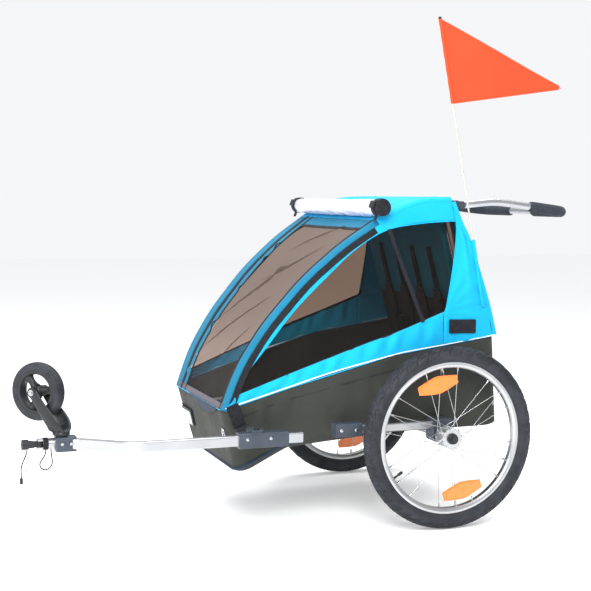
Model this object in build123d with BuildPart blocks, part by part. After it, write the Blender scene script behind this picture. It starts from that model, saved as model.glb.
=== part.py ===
"""A child bicycle trailer: two wheels, a fabric cabin on folding tubes, a tow arm with a caster, and a push bar.

X is forward, Y is to the trailer's left and Z is up. The origin is on the ground, under the middle of the
whole trailer. Positions are given from the axle line, which lies AXLE_X from the origin. All sizes are in mm.
"""

from build123d import *
import math
import os

os.makedirs("parts", exist_ok=True)

# ---- driving sizes -------------------------------------------------------------------------------------
AXLE_X = -346.0            # the axle line, from the middle of the whole length
FIT = 0.05                 # radial clearance of a running fit
GAP = 0.3                  # gap between pieces that touch
SKIN = 2.0                 # thickness of a fabric panel

TRACK = 730.0              # between the wheels' middle planes
WHEEL_R = 248.0            # over the tyre
TYRE_W = 47.0
TYRE_WALL = 4.0
RIM_R = 209.5              # over the rim's flanges
RIM_W = 25.0
RIM_DEPTH = 19.5
RIM_LIP = 2.2
SPOKES = 24
SPOKE_D = 2.0
FLANGE_R = 29.0
FLANGE_T = 3.0
FLANGE_SPREAD = 20.0       # from the wheel's middle plane to a hub flange
BARREL_R = 13.0
AXLE_R = 6.0
HUB_HEAD = 35.0            # from the wheel's middle plane to the outer face of the push button
BUTTON_R = 8.0
BUTTON_TRAVEL = 3.5
REFLECTOR_L = 118.0
REFLECTOR_H = 48.0
REFLECTOR_T = 6.0
REFLECTOR_AT = 150.0       # radius of the wheel reflectors
REFLECTOR_TURN = 15.0      # angle of the upper wheel reflector from the vertical

CABIN_HALF = 300.0         # half the cabin's width, over the fabric
NOSE_HALF = 240.0          # half its width at the nose
NOSE_X = 600.0             # the cabin narrows from TAPER_X to NOSE_X
TAPER_X = 140.0            # where the bows reach the full width
TUBE_R = 10.0              # canopy bows, hoop and push bar
TUBE_WALL = 1.5
BASE_R = 11.0              # base frame
BASE_Z = 279.0
BASE_HALF = 252.0
BASE_REAR = -185.0
BASE_FRONT = 562.0
BASE_NOSE_HALF = 208.0
PIVOT_R = 5.0              # pivot pins of the bows, the hoop and the push bar

BOW_PIVOT = (578.0, 352.0)
BOW_CORNERS = [BOW_PIVOT, (548.0, 436.0), (480.0, 545.0), (375.0, 669.0), (270.0, 760.0), (140.0, 846.0),
               (60.0, 878.0), (-30.0, 881.0)]
BOW_RADII = [500.0, 680.0, 700.0, 680.0, 350.0, 200.0]
ROOF_BAR_X = 172.0
ROOF_FRONT = 190.0         # the roof panel meets the front mesh here
HOOP_PIVOT = (-182.0, 318.0)
HOOP_LEAN = 15.5           # degrees, top forward
HOOP_LENGTH = 565.0
HOOP_HALF = 260.0
HOOP_CORNER = 40.0
HANDLE_PIVOT = (-80.0, 871.0)
HANDLE_BEND = (-190.0, 882.0)
HANDLE_END = (-425.0, 853.0)
HANDLE_HALF = 250.0
HANDLE_CORNER = 50.0
GRIP_R = 15.0
GRIP_FROM = -300.0         # the foam starts here on each arm
GRIP_MIDDLE = 65.0         # and ends this far from the middle of the crossbar

TUB_WALL = 3.0
TUB_REAR_TOP = (-172.0, 513.0)
TUB_REAR_LOW = (-208.0, 263.0)
TUB_NOSE_TOP = (598.0, 330.0)
TUB_NOSE_LOW = (553.0, 165.0)
TUB_HALF_LOW = 269.0       # half the tub's width at its bottom, behind the taper
TUB_NOSE_HALF_LOW = 222.0

RAIL = 22.0                # side rails, square
RAIL_Y = 312.0
RAIL_Z = 276.0
RAIL_FRONT = 300.0
BRACKET = (238.0, 313.0)   # the brackets that hold the rails' front ends, from x to x
BRACKET_H = 36.0
OUTRIGGER_X = 275.0
OUTRIGGER_R = 9.0          # the cross tubes that carry the rails and the receiver
RAIL_PAD = 6.0             # plastic round a rail, at its brackets and at the axle receivers
RECEIVER = (475.0, 580.0)  # the tow arm's receiver, from x to x
RECEIVER_ARM_X = 530.0
RECEIVER_LUG = 10.0        # from the tow arm in to the end of the cross tube
ARM_Y = 318.0
ARM_Z = 265.0
ARM_W = 22.0
ARM_H = 27.0
ARM_REAR = 405.0
ARM_BEND = (856.0, 318.0)
ARM_KNEE = (968.0, 234.0)
ARM_TIP = (1000.0, 221.0)
SWIVEL = (1014.0, 214.0)   # the caster's upright axis
CLAMP = (978.0, 1030.0)
CLAMP_W = 40.0
CLAMP_H = 36.0
CASTER_R = 75.0
CASTER_W = 36.0
CASTER_TURN = -46.0        # how far the caster stands turned from straight ahead, in degrees
CASTER_TRAIL = 70.0
CASTER_RISE = 109.0        # from the clamp's top face to the caster wheel's centre
CASTER_PIN_R = 4.0
STEM_R = 6.0
HITCH_Y = 206.0
HITCH_BLOCK = (1030.3, 1056.0)
HITCH_YAW_X = 1067.0
HITCH_PITCH_X = 1086.0
HITCH_NOSE_X = 1112.0
HITCH_R = 13.0
HITCH_PIN_R = 4.0
SOCKET_R = 6.0             # the socket that takes the bicycle's hitch stud
SOCKET_DEPTH = 16.0
CROSS_PIN_R = 2.5

CUSHION_T = 34.0
CUSHION = (-90.0, 262.0)
CUSHION_HALF = 222.0
BACK_T = 20.0
BACK_FROM = 140.0          # along the hoop's legs, from the pivot
BACK_TO = 545.0
ROLL_R = 24.0
ROLL_X = 184.0
ROLL_HALF = 326.0

POLE_R = 2.5
POLE_Y = 305.0
POLE_FOOT = (-127.6, 600.0)
POLE_TOP = (18.0, 1367.0)
SLEEVE_TOP_Z = 777.0
SLEEVE_R = 4.6
PENNANT_LOW_Z = 1144.0
PENNANT_TIP = (-363.0, 1197.0)

CORD_D = 3.4
SIDES = {"left": 1, "right": -1}


# ---- helpers -------------------------------------------------------------------------------------------
def spot(x, y, z):
    """A point given from the foot of the axle line."""
    return (AXLE_X + x, y, z)


def side_plane(y=0.0):
    """An upright plane along the trailer, with forward and up as its own axes."""
    return Plane(origin=spot(0, y, 0), x_dir=(1, 0, 0), z_dir=(0, -1, 0))


def cross_plane(x):
    """An upright plane across the trailer, with left and up as its own axes."""
    return Plane(origin=spot(x, 0, 0), x_dir=(0, 1, 0), z_dir=(1, 0, 0))


def level(z):
    """A level plane, with forward and left as its own axes."""
    return Plane(origin=spot(0, 0, z), x_dir=(1, 0, 0), z_dir=(0, 0, 1))


def keep(builder, label):
    """Names a finished piece and writes it."""
    builder.part.label = label
    export_step(builder.part, f"parts/{label}.step")


def cabin_half(x):
    """Half the width over the cabin's fabric at x."""
    taper = (CABIN_HALF - NOSE_HALF) / (NOSE_X - TAPER_X)
    return CABIN_HALF - max(0.0, x - TAPER_X) * taper


def parallel(corners, distance):
    """The corners of a line beside an open polyline, this far to its left."""
    moved = []
    for i, (x, z) in enumerate(corners):
        spans = []
        for a, b in ((i - 1, i), (i, i + 1)):
            if a >= 0 and b < len(corners):
                dx, dz = corners[b][0] - corners[a][0], corners[b][1] - corners[a][1]
                length = math.hypot(dx, dz)
                spans.append((-dz / length, dx / length))
        nx = sum(n[0] for n in spans) / len(spans)
        nz = sum(n[1] for n in spans) / len(spans)
        scale = distance / (nx * nx + nz * nz)
        moved.append((x + nx * scale, z + nz * scale))
    return moved


def base_half(x):
    """Half the width between the middle lines of the base frame's side tubes at x."""
    taper = (BASE_HALF - BASE_NOSE_HALF) / (BASE_FRONT - TAPER_X)
    return BASE_HALF - max(0.0, x - TAPER_X) * taper


def on_line(a, b, x):
    """The second coordinate of the line through a and b at x."""
    return a[1] + (b[1] - a[1]) * (x - a[0]) / (b[0] - a[0])


def along_hoop(s, ahead=0.0):
    """The (x, z) point this far up the hoop's legs, and this far in front of their middle line."""
    lean = math.radians(HOOP_LEAN)
    x = HOOP_PIVOT[0] + s * math.sin(lean) + ahead * math.cos(lean)
    z = HOOP_PIVOT[1] + s * math.cos(lean) - ahead * math.sin(lean)
    return (x, z)


def tube_between(start, end, radius):
    """A round bar from one point to another."""
    axis = Vector(*end) - Vector(*start)
    bar = Cylinder(radius, axis.length, align=(Align.CENTER, Align.CENTER, Align.MIN), mode=Mode.PRIVATE)
    return Plane(origin=start, z_dir=axis) * bar


def plan_outline(x_from, x_to, inset):
    """The cabin's outline seen from above, between two stations."""
    stations = [x_from] + [x for x in (TAPER_X,) if x_from < x < x_to] + [x_to]
    left = [(x, cabin_half(x) - inset) for x in stations]
    return left + [(x, -y) for x, y in reversed(left)]


# ---- base frame, rails and axle ------------------------------------------------------------------------
base_corners = [(x, base_half(x)) for x in (BASE_REAR, TAPER_X, BASE_FRONT)]
base_ring = base_corners + [(x, -y) for x, y in reversed(base_corners)]
with BuildPart() as base_frame:
    with BuildLine(level(BASE_Z)):
        FilletPolyline(*base_ring, radius=35, close=True)
    with BuildSketch(Plane(origin=spot(0, BASE_HALF, BASE_Z), z_dir=(1, 0, 0))):
        Circle(BASE_R)
    sweep()
    for side in SIDES.values():
        inner = side * (base_half(OUTRIGGER_X) + BASE_R / 2)
        outer = side * (RAIL_Y - RAIL / 2 - RAIL_PAD - GAP)
        add(tube_between(spot(OUTRIGGER_X, inner, BASE_Z), spot(OUTRIGGER_X, outer, BASE_Z), OUTRIGGER_R))
    arm_root = base_half(RECEIVER_ARM_X) + BASE_R / 2
    receiver_inner = ARM_Y - ARM_W / 2 - RECEIVER_LUG
    root, end = spot(RECEIVER_ARM_X, arm_root, BASE_Z), spot(RECEIVER_ARM_X, receiver_inner, BASE_Z)
    add(tube_between(root, end, OUTRIGGER_R))
keep(base_frame, "base_frame")

for label, side in SIDES.items():
    with BuildPart() as side_rail:
        with BuildSketch(cross_plane(0)):
            with Locations((side * RAIL_Y, RAIL_Z)):
                RectangleRounded(RAIL, RAIL, 4)
                RectangleRounded(RAIL - 4, RAIL - 4, 2.5, mode=Mode.SUBTRACT)
        extrude(amount=RAIL_FRONT)
    keep(side_rail, f"{label}_side_rail")

with BuildPart() as rail_brackets:
    for side in SIDES.values():
        with BuildSketch(cross_plane(BRACKET[0])):
            with Locations((side * RAIL_Y, RAIL_Z)):
                RectangleRounded(RAIL + 2 * RAIL_PAD, BRACKET_H, 5)
        extrude(amount=BRACKET[1] - BRACKET[0])
        with BuildSketch(cross_plane(BRACKET[0] - 1)):
            with Locations((side * RAIL_Y, RAIL_Z)):
                RectangleRounded(RAIL + 2 * FIT, RAIL + 2 * FIT, 4)
        extrude(amount=RAIL_FRONT - BRACKET[0] + 1 + GAP, mode=Mode.SUBTRACT)
keep(rail_brackets, "rail_brackets")

BEAM_R = 12.5
RECEIVER_BLOCK = 54.0      # length of an axle receiver along the trailer
BEAM_SEAT = 14.0           # how far the beam goes into a receiver
with BuildPart() as axle_beam:
    with BuildSketch(side_plane()):
        with Locations((0, WHEEL_R)):
            Circle(BEAM_R)
            Circle(BEAM_R - 2, mode=Mode.SUBTRACT)
    extrude(amount=RAIL_Y - RAIL / 2 - RAIL_PAD, both=True)
keep(axle_beam, "axle_beam")

with BuildPart() as axle_receivers:
    for side in SIDES.values():
        low_z = WHEEL_R - 18
        high_z = RAIL_Z + RAIL / 2 + RAIL_PAD
        middle = (low_z + high_z) / 2
        start = side * (RAIL_Y - RAIL / 2 - RAIL_PAD - BEAM_SEAT)
        with BuildSketch(side_plane(start)):
            with Locations((0, middle)):
                RectangleRounded(RECEIVER_BLOCK, high_z - low_z, 8)
        extrude(amount=-side * (RAIL + 2 * RAIL_PAD + BEAM_SEAT))
        with BuildSketch(side_plane(start - side)):
            with Locations((0, WHEEL_R)):
                Circle(BEAM_R + FIT)
        extrude(amount=-side * (BEAM_SEAT + 1 + GAP), mode=Mode.SUBTRACT)
        with BuildSketch(side_plane(start - side)):
            with Locations((0, WHEEL_R)):
                Circle(AXLE_R + FIT)
        extrude(amount=-side * (RAIL + 30), mode=Mode.SUBTRACT)
        with BuildSketch(cross_plane(-GAP)):
            with Locations((side * RAIL_Y, RAIL_Z)):
                RectangleRounded(RAIL + 2 * FIT, RAIL + 2 * FIT, 4)
        extrude(amount=RECEIVER_BLOCK, mode=Mode.SUBTRACT)
keep(axle_receivers, "axle_receivers")

# ---- wheels --------------------------------------------------------------------------------------------
RIM_BED = RIM_R - 6.5
RIM_FLOOR = RIM_R - RIM_DEPTH
TYRE_MID = WHEEL_R - TYRE_W / 2
AXLE_INNER = -58.0         # inner end of an axle, from the wheel's middle plane
AXLE_HEAD = 24.6
AXLE_HEAD_R = 15.0
BUTTON_SEAT = 25.6


def wheel_section(side):
    """The radial half plane of a wheel: its own axes point outward from the trailer and up."""
    return Plane(origin=spot(0, side * TRACK / 2, WHEEL_R), x_dir=(0, side, 0), z_dir=(side, 0, 0))


def wheel_face(side, out):
    """A plane across a wheel's axis, this far outward from its middle plane, with forward and up as its axes."""
    return side_plane(side * (TRACK / 2 + out))


for label, side in SIDES.items():
    hub_line = Axis(spot(0, side * TRACK / 2, WHEEL_R), (0, 1, 0))
    section = wheel_section(side)

    with BuildPart() as tyre:
        with BuildSketch(section):
            with Locations((0, TYRE_MID)):
                Circle(TYRE_W / 2)
                Circle(TYRE_W / 2 - TYRE_WALL, mode=Mode.SUBTRACT)
            with Locations((0, RIM_R + GAP - 20)):
                Rectangle(RIM_W + 2 * GAP, 40, mode=Mode.SUBTRACT)
        revolve(axis=hub_line)
    keep(tyre, f"{label}_tyre")

    with BuildPart() as rim:
        with BuildSketch(section):
            with BuildLine():
                half = RIM_W / 2
                outer_side = [(half, RIM_BED - 1), (half, RIM_R), (half - RIM_LIP, RIM_R), (half - RIM_LIP, RIM_BED)]
                bed = [(half - 6.5, RIM_BED - 5), (-half + 6.5, RIM_BED - 5)]
                inner_side = [(-x, z) for x, z in reversed(outer_side)]
                floor = [(-half + 4, RIM_FLOOR), (half - 4, RIM_FLOOR)]
                Polyline(*outer_side, *bed, *inner_side, *floor, close=True)
            make_face()
        revolve(axis=hub_line)
    keep(rim, f"{label}_rim")

    with BuildPart() as hub:
        with BuildSketch(section):
            with BuildLine():
                inner_end, outer_end = -30.0, AXLE_HEAD - GAP
                bore = AXLE_R + FIT
                left = -FLANGE_SPREAD
                right = FLANGE_SPREAD
                Polyline(
                    (inner_end, bore), (outer_end, bore), (outer_end, BARREL_R), (right + FLANGE_T / 2, BARREL_R),
                    (right + FLANGE_T / 2, FLANGE_R), (right - FLANGE_T / 2, FLANGE_R),
                    (right - FLANGE_T / 2, BARREL_R), (left + FLANGE_T / 2, BARREL_R),
                    (left + FLANGE_T / 2, FLANGE_R), (left - FLANGE_T / 2, FLANGE_R),
                    (left - FLANGE_T / 2, BARREL_R), (inner_end, BARREL_R), close=True,
                )
            make_face()
        revolve(axis=hub_line)
    keep(hub, f"{label}_hub")

    with BuildPart() as spokes:
        pairs = SPOKES // 4
        for flange in (-1, 1):
            for i in range(pairs):
                for lean in (-1, 1):
                    hub_angle = 2 * math.pi * (i + (0.25 if flange > 0 else 0)) / pairs
                    rim_angle = hub_angle + lean * math.radians(52.5)
                    beside = FLANGE_T / 2 + SPOKE_D / 2 + 2 * GAP
                    out = flange * FLANGE_SPREAD + lean * beside
                    hub_r, rim_r = FLANGE_R - 2.5, RIM_FLOOR - GAP
                    ends = []
                    for radius, angle, shift in ((hub_r, hub_angle, out), (rim_r, rim_angle, flange * 3.0)):
                        x = radius * math.sin(angle)
                        z = WHEEL_R + radius * math.cos(angle)
                        ends.append(spot(x, side * (TRACK / 2 + shift), z))
                    add(tube_between(*ends, SPOKE_D / 2))
    keep(spokes, f"{label}_spokes")

    with BuildPart() as reflectors:
        for half_turn in (0, 180):
            angle = math.radians(REFLECTOR_TURN + half_turn)
            x = REFLECTOR_AT * math.sin(angle)
            z = WHEEL_R + REFLECTOR_AT * math.cos(angle)
            with BuildSketch(wheel_face(side, 11.8)):
                with Locations(Location((x, z), -REFLECTOR_TURN)):
                    SlotOverall(REFLECTOR_L, REFLECTOR_H)
            extrude(amount=-side * REFLECTOR_T)
    keep(reflectors, f"{label}_wheel_reflectors")

    with BuildPart() as axle:
        with BuildSketch(section):
            with BuildLine():
                Polyline(
                    (AXLE_INNER, 0), (AXLE_INNER, AXLE_R), (AXLE_HEAD, AXLE_R), (AXLE_HEAD, AXLE_HEAD_R),
                    (HUB_HEAD - 4, AXLE_HEAD_R - 2), (HUB_HEAD - 4, BUTTON_R), (BUTTON_SEAT, BUTTON_R),
                    (BUTTON_SEAT, 0), close=True,
                )
            make_face()
        revolve(axis=hub_line)
    keep(axle, f"{label}_axle")

    with BuildPart() as button:
        with BuildSketch(wheel_face(side, BUTTON_SEAT + BUTTON_TRAVEL + GAP)):
            with Locations((0, WHEEL_R)):
                Circle(BUTTON_R - FIT)
        extrude(amount=-side * (HUB_HEAD - BUTTON_SEAT - BUTTON_TRAVEL - GAP))
    keep(button, f"{label}_axle_button")

# ---- tub, seat and reflector ---------------------------------------------------------------------------
TUB_STATIONS = [TUB_REAR_TOP + TUB_REAR_LOW, (TAPER_X, 468.0, TAPER_X, 260.0), (423.0, 386.0, 423.0, 230.0),
                TUB_NOSE_TOP + TUB_NOSE_LOW]


def tub_low_half(x):
    """Half the tub's width at its bottom."""
    taper = (TUB_HALF_LOW - TUB_NOSE_HALF_LOW) / (TUB_NOSE_LOW[0] - TAPER_X)
    return TUB_HALF_LOW - max(0.0, x - TAPER_X) * taper


def tub_solid(inset, lift):
    """The tub's block, drawn in by inset all round. The inner block rises above the rim by lift."""
    sections = []
    last = len(TUB_STATIONS) - 1
    for i, (top_x, top_z, low_x, low_z) in enumerate(TUB_STATIONS):
        shift = {0: inset, last: -inset}.get(i, 0.0)
        top_half = cabin_half(top_x) - inset
        low_half = tub_low_half(low_x) - inset
        rise = (top_x - low_x) / (top_z - low_z)
        high = top_z + lift
        over = top_x + rise * lift + shift
        under = low_x + rise * inset + shift
        floor = low_z + inset
        sections.append(
            make_face(Polyline(
                spot(over, top_half, high), spot(under, low_half, floor),
                spot(under, -low_half, floor), spot(over, -top_half, high), close=True,
            ).edges())
        )
    return loft(sections, ruled=True)


tub_outer = tub_solid(0.0, 0.0)
tub_inner = tub_solid(TUB_WALL, 20.0)
with BuildPart() as tub:
    add(tub_outer)
    add(tub_inner, mode=Mode.SUBTRACT)
    for side in SIDES.values():
        ends = [spot(OUTRIGGER_X, side * y, BASE_Z) for y in (base_half(OUTRIGGER_X), RAIL_Y)]
        add(tube_between(*ends, OUTRIGGER_R + GAP), mode=Mode.SUBTRACT)
    ends = [spot(RECEIVER_ARM_X, y, BASE_Z) for y in (base_half(RECEIVER_ARM_X), ARM_Y)]
    add(tube_between(*ends, OUTRIGGER_R + GAP), mode=Mode.SUBTRACT)
keep(tub, "tub")

SEAT_BAR_R = 8.0
with BuildPart() as seat_bars:
    for x in (CUSHION[0] + 20, CUSHION[1] - 25):
        reach = base_half(x + SEAT_BAR_R) - BASE_R - GAP
        with BuildSketch(side_plane()):
            with Locations((x, BASE_Z)):
                Circle(SEAT_BAR_R)
        extrude(amount=reach, both=True)
keep(seat_bars, "seat_bars")

with BuildPart() as seat_cushion:
    with BuildSketch(level(BASE_Z + SEAT_BAR_R + GAP)):
        with Locations(((CUSHION[0] + CUSHION[1]) / 2, 0)):
            RectangleRounded(CUSHION[1] - CUSHION[0], 2 * CUSHION_HALF, 25)
    extrude(amount=CUSHION_T)
    fillet(seat_cushion.faces().sort_by(Axis.Z)[-1].edges(), 10)
keep(seat_cushion, "seat_cushion")

FRONT_REFLECTOR = (95.0, 50.0, 9.0)      # width, height and depth
FRONT_REFLECTOR_AT = (-150.0, 252.0)     # its middle, across and up
nose_lean = math.degrees(math.atan2(TUB_NOSE_TOP[0] - TUB_NOSE_LOW[0], TUB_NOSE_TOP[1] - TUB_NOSE_LOW[1]))
nose_out = Vector(math.cos(math.radians(nose_lean)), 0, -math.sin(math.radians(nose_lean)))
nose_z = FRONT_REFLECTOR_AT[1]
nose_x = TUB_NOSE_LOW[0] + (nose_z - TUB_NOSE_LOW[1]) * math.tan(math.radians(nose_lean))
nose_plane = Plane(origin=Vector(*spot(nose_x, FRONT_REFLECTOR_AT[0], nose_z)) + nose_out * GAP, x_dir=(0, 1, 0), z_dir=nose_out)
with BuildPart() as front_reflector:
    with BuildSketch(nose_plane):
        RectangleRounded(FRONT_REFLECTOR[0], FRONT_REFLECTOR[1], 6)
    extrude(amount=FRONT_REFLECTOR[2])
    fillet(front_reflector.edges().group_by(SortBy.DISTANCE)[-1], 1)
keep(front_reflector, "front_reflector")

# ---- pivots on the base frame --------------------------------------------------------------------------
EAR = 6.0
BOW_INSET = SKIN + 0.4 + TUBE_R          # from the fabric's outer face to a bow's middle line
bow_y = cabin_half(BOW_PIVOT[0]) - BOW_INSET
SADDLE_TOP = BASE_Z + BASE_R + GAP


def pivot_brackets(x, z, tube_y, saddle_from, saddle_to, ear_half):
    """On both sides, a saddle on the base frame with one inboard ear and a pin outward through a tube."""
    ear_out = tube_y - TUBE_R - 0.6
    with BuildPart() as brackets:
        for side in SIDES.values():
            with BuildSketch(level(SADDLE_TOP)):
                with Locations(((saddle_from + saddle_to) / 2, side * (ear_out - 12))):
                    RectangleRounded(saddle_to - saddle_from, 24, 4)
            extrude(amount=8)
            with BuildSketch(side_plane(side * (ear_out - EAR))):
                with Locations((x, (SADDLE_TOP + z) / 2)):
                    Rectangle(2 * ear_half, z - SADDLE_TOP)
                with Locations((x, z)):
                    Circle(ear_half)
            extrude(amount=-side * EAR)
            root, end = side * (ear_out - 1), side * (tube_y + TUBE_R - 0.5)
            add(tube_between(spot(x, root, z), spot(x, end, z), PIVOT_R))
    return brackets


front_pivot_brackets = pivot_brackets(
    BOW_PIVOT[0] - 4, BOW_PIVOT[1], bow_y, BOW_PIVOT[0] - 50, BOW_PIVOT[0], 8
)
keep(front_pivot_brackets, "front_pivot_brackets")
rear_pivot_brackets = pivot_brackets(*HOOP_PIVOT, HOOP_HALF, HOOP_PIVOT[0] - 10, HOOP_PIVOT[0] + 26, 10)
keep(rear_pivot_brackets, "rear_pivot_brackets")

# ---- tow arm and its receiver --------------------------------------------------------------------------
with BuildPart() as tow_arm_receiver:
    with BuildSketch(cross_plane(RECEIVER[0])):
        with Locations((ARM_Y, ARM_Z)):
            RectangleRounded(ARM_W + 14, ARM_H + 12, 5)
    extrude(amount=RECEIVER[1] - RECEIVER[0])
    with BuildSketch(level(ARM_Z + ARM_H / 2 + 5)):
        with Locations((RECEIVER_ARM_X, ARM_Y)):
            RectangleRounded(34, 26, 6)
    extrude(amount=8)
    with BuildSketch(side_plane(receiver_inner - 8)):
        with Locations((RECEIVER_ARM_X, BASE_Z)):
            Circle(14)
    extrude(amount=-14)
    with BuildSketch(cross_plane(RECEIVER[0] - 1)):
        with Locations((ARM_Y, ARM_Z)):
            RectangleRounded(ARM_W + 2 * FIT, ARM_H + 2 * FIT, 4)
    extrude(amount=RECEIVER[1] - RECEIVER[0] + 2, mode=Mode.SUBTRACT)
    with BuildSketch(side_plane(receiver_inner - 9)):
        with Locations((RECEIVER_ARM_X, BASE_Z)):
            Circle(OUTRIGGER_R + FIT)
    extrude(amount=-(9 + GAP), mode=Mode.SUBTRACT)
    with BuildSketch(level(ARM_Z + ARM_H / 2 + 7)):
        with Locations((RECEIVER_ARM_X, ARM_Y)):
            Circle(7 + FIT)
    extrude(amount=20, mode=Mode.SUBTRACT)
keep(tow_arm_receiver, "tow_arm_receiver")

ARM_BUTTON_TRAVEL = 3.0
with BuildPart() as arm_button:
    with BuildSketch(level(ARM_Z + ARM_H / 2 + 7 + ARM_BUTTON_TRAVEL + GAP)):
        with Locations((RECEIVER_ARM_X, ARM_Y)):
            Circle(7)
    extrude(amount=7)
    fillet(arm_button.faces().sort_by(Axis.Z)[-1].edges(), 1.5)
keep(arm_button, "arm_release_button")


def arm_path():
    """The tow arm's middle line, which is level."""
    FilletPolyline((ARM_REAR, ARM_Y), ARM_BEND, ARM_KNEE, ARM_TIP, radius=[90, 40])


with BuildPart() as tow_arm:
    with BuildLine(level(ARM_Z)) as arm_line:
        arm_path()
    with BuildSketch(cross_plane(ARM_REAR)):
        with Locations((ARM_Y, ARM_Z)):
            RectangleRounded(ARM_W, ARM_H, 4)
            RectangleRounded(ARM_W - 4, ARM_H - 4, 2.5, mode=Mode.SUBTRACT)
    sweep()
keep(tow_arm, "tow_arm")

with BuildPart() as arm_envelope:
    with BuildLine(level(ARM_Z)):
        arm_path()
    with BuildSketch(cross_plane(ARM_REAR)):
        with Locations((ARM_Y, ARM_Z)):
            RectangleRounded(ARM_W + 2 * FIT, ARM_H + 2 * FIT, 4)
    sweep()

clamp_top = ARM_Z + CLAMP_H / 2
with BuildPart() as caster_clamp:
    with BuildSketch(level(ARM_Z - CLAMP_H / 2)):
        with Locations(((CLAMP[0] + CLAMP[1]) / 2, (SWIVEL[1] + ARM_TIP[1]) / 2)):
            RectangleRounded(CLAMP[1] - CLAMP[0], CLAMP_W, 5)
    extrude(amount=CLAMP_H)
    with BuildSketch(level(clamp_top)):
        with Locations(SWIVEL):
            Circle(15)
    extrude(amount=4)
    add(arm_envelope.part, mode=Mode.SUBTRACT)
    with BuildSketch(level(ARM_Z - CLAMP_H / 2 - 1)):
        with Locations(SWIVEL):
            Circle(STEM_R + FIT)
    extrude(amount=CLAMP_H + 8, mode=Mode.SUBTRACT)
keep(caster_clamp, "caster_clamp")

# ---- caster --------------------------------------------------------------------------------------------
caster_ahead = Vector(math.cos(math.radians(CASTER_TURN)), math.sin(math.radians(CASTER_TURN)), 0)
caster_left = Vector(-caster_ahead.Y, caster_ahead.X, 0)
swivel_foot = Vector(*spot(SWIVEL[0], SWIVEL[1], 0))
fork_z = clamp_top + 4 + GAP
caster_z = clamp_top + CASTER_RISE
caster_centre = swivel_foot + caster_ahead * CASTER_TRAIL + Vector(0, 0, caster_z)


def caster_plane(left=0.0):
    """An upright plane along the caster, with its own trail and up as axes, this far to its left."""
    return Plane(origin=swivel_foot + caster_left * left, x_dir=caster_ahead, z_dir=caster_left * -1)


CHEEK_T = 6.0
CHEEK_IN = CASTER_W / 2 + 3.0
with BuildPart() as caster_fork:
    with BuildSketch(Plane(origin=swivel_foot + Vector(0, 0, fork_z))):
        Circle(22)
    extrude(amount=10)
    crown_low, crown_high = fork_z + 6, fork_z + 24
    with BuildSketch(caster_plane(-CHEEK_IN - CHEEK_T)):
        with BuildLine():
            Polyline((-20, crown_low), (16, crown_low), (20, crown_high), (-16, crown_high), close=True)
        make_face()
    extrude(amount=-2 * (CHEEK_IN + CHEEK_T))
    for cheek in (-1, 1):
        start = cheek * CHEEK_IN if cheek > 0 else -CHEEK_IN - CHEEK_T
        with BuildSketch(caster_plane(start)):
            with BuildLine():
                Polyline(
                    (-20, crown_low), (16, crown_low), (CASTER_TRAIL + 11, caster_z - 6),
                    (CASTER_TRAIL - 11, caster_z + 6), (-17, crown_high + 8), close=True,
                )
            make_face()
            with Locations((CASTER_TRAIL, caster_z)):
                Circle(13)
        extrude(amount=-CHEEK_T)
    with BuildSketch(Plane(origin=swivel_foot + Vector(0, 0, ARM_Z - CLAMP_H / 2))):
        Circle(STEM_R)
    extrude(amount=fork_z - (ARM_Z - CLAMP_H / 2) + 2)
    with BuildSketch(caster_plane(-CHEEK_IN - CHEEK_T - 1)):
        with Locations((CASTER_TRAIL, caster_z)):
            Circle(CASTER_PIN_R + FIT)
    extrude(amount=-2 * (CHEEK_IN + CHEEK_T + 1), mode=Mode.SUBTRACT)
keep(caster_fork, "caster_fork")

with BuildPart() as caster_axle:
    reach = CHEEK_IN + CHEEK_T
    with BuildSketch(caster_plane(-reach)):
        with Locations((CASTER_TRAIL, caster_z)):
            Circle(CASTER_PIN_R)
    extrude(amount=-2 * reach)
    for cheek in (-1, 1):
        with BuildSketch(caster_plane(cheek * (reach + GAP))):
            with Locations((CASTER_TRAIL, caster_z)):
                Circle(8)
        extrude(amount=-cheek * 4)
        with BuildSketch(caster_plane(cheek * (reach - 1))):
            with Locations((CASTER_TRAIL, caster_z)):
                Circle(CASTER_PIN_R)
        extrude(amount=-cheek * 2)
keep(caster_axle, "caster_axle")

caster_line = Axis(caster_centre, caster_left)
caster_section = Plane(origin=caster_centre, x_dir=caster_left, z_dir=caster_left.cross(Vector(0, 0, 1)))
CASTER_RIM_R = 56.0
with BuildPart() as caster_tyre:
    with BuildSketch(caster_section):
        with Locations((0, (CASTER_R + CASTER_RIM_R) / 2)):
            RectangleRounded(CASTER_W, CASTER_R - CASTER_RIM_R, 8.5)
    revolve(axis=caster_line)
keep(caster_tyre, "caster_tyre")

with BuildPart() as caster_wheel:
    with BuildSketch(caster_section):
        with Locations((0, CASTER_RIM_R - GAP - 3)):
            Rectangle(CASTER_W - 6, 6)
        with Locations((0, 10)):
            Rectangle(2 * CHEEK_IN - 2 * GAP, 12 - 2 * FIT)
    revolve(axis=caster_line)
    with BuildSketch(Plane(origin=caster_centre - caster_left * 6, x_dir=caster_ahead, z_dir=caster_left)):
        with PolarLocations((CASTER_RIM_R + 10) / 2, 3, start_angle=90):
            Rectangle(CASTER_RIM_R - 16, 17)
    extrude(amount=12)
    with BuildSketch(Plane(origin=caster_centre - caster_left * 40, x_dir=caster_ahead, z_dir=caster_left)):
        Circle(CASTER_PIN_R + FIT)
    extrude(amount=80, mode=Mode.SUBTRACT)
keep(caster_wheel, "caster_wheel")

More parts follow.
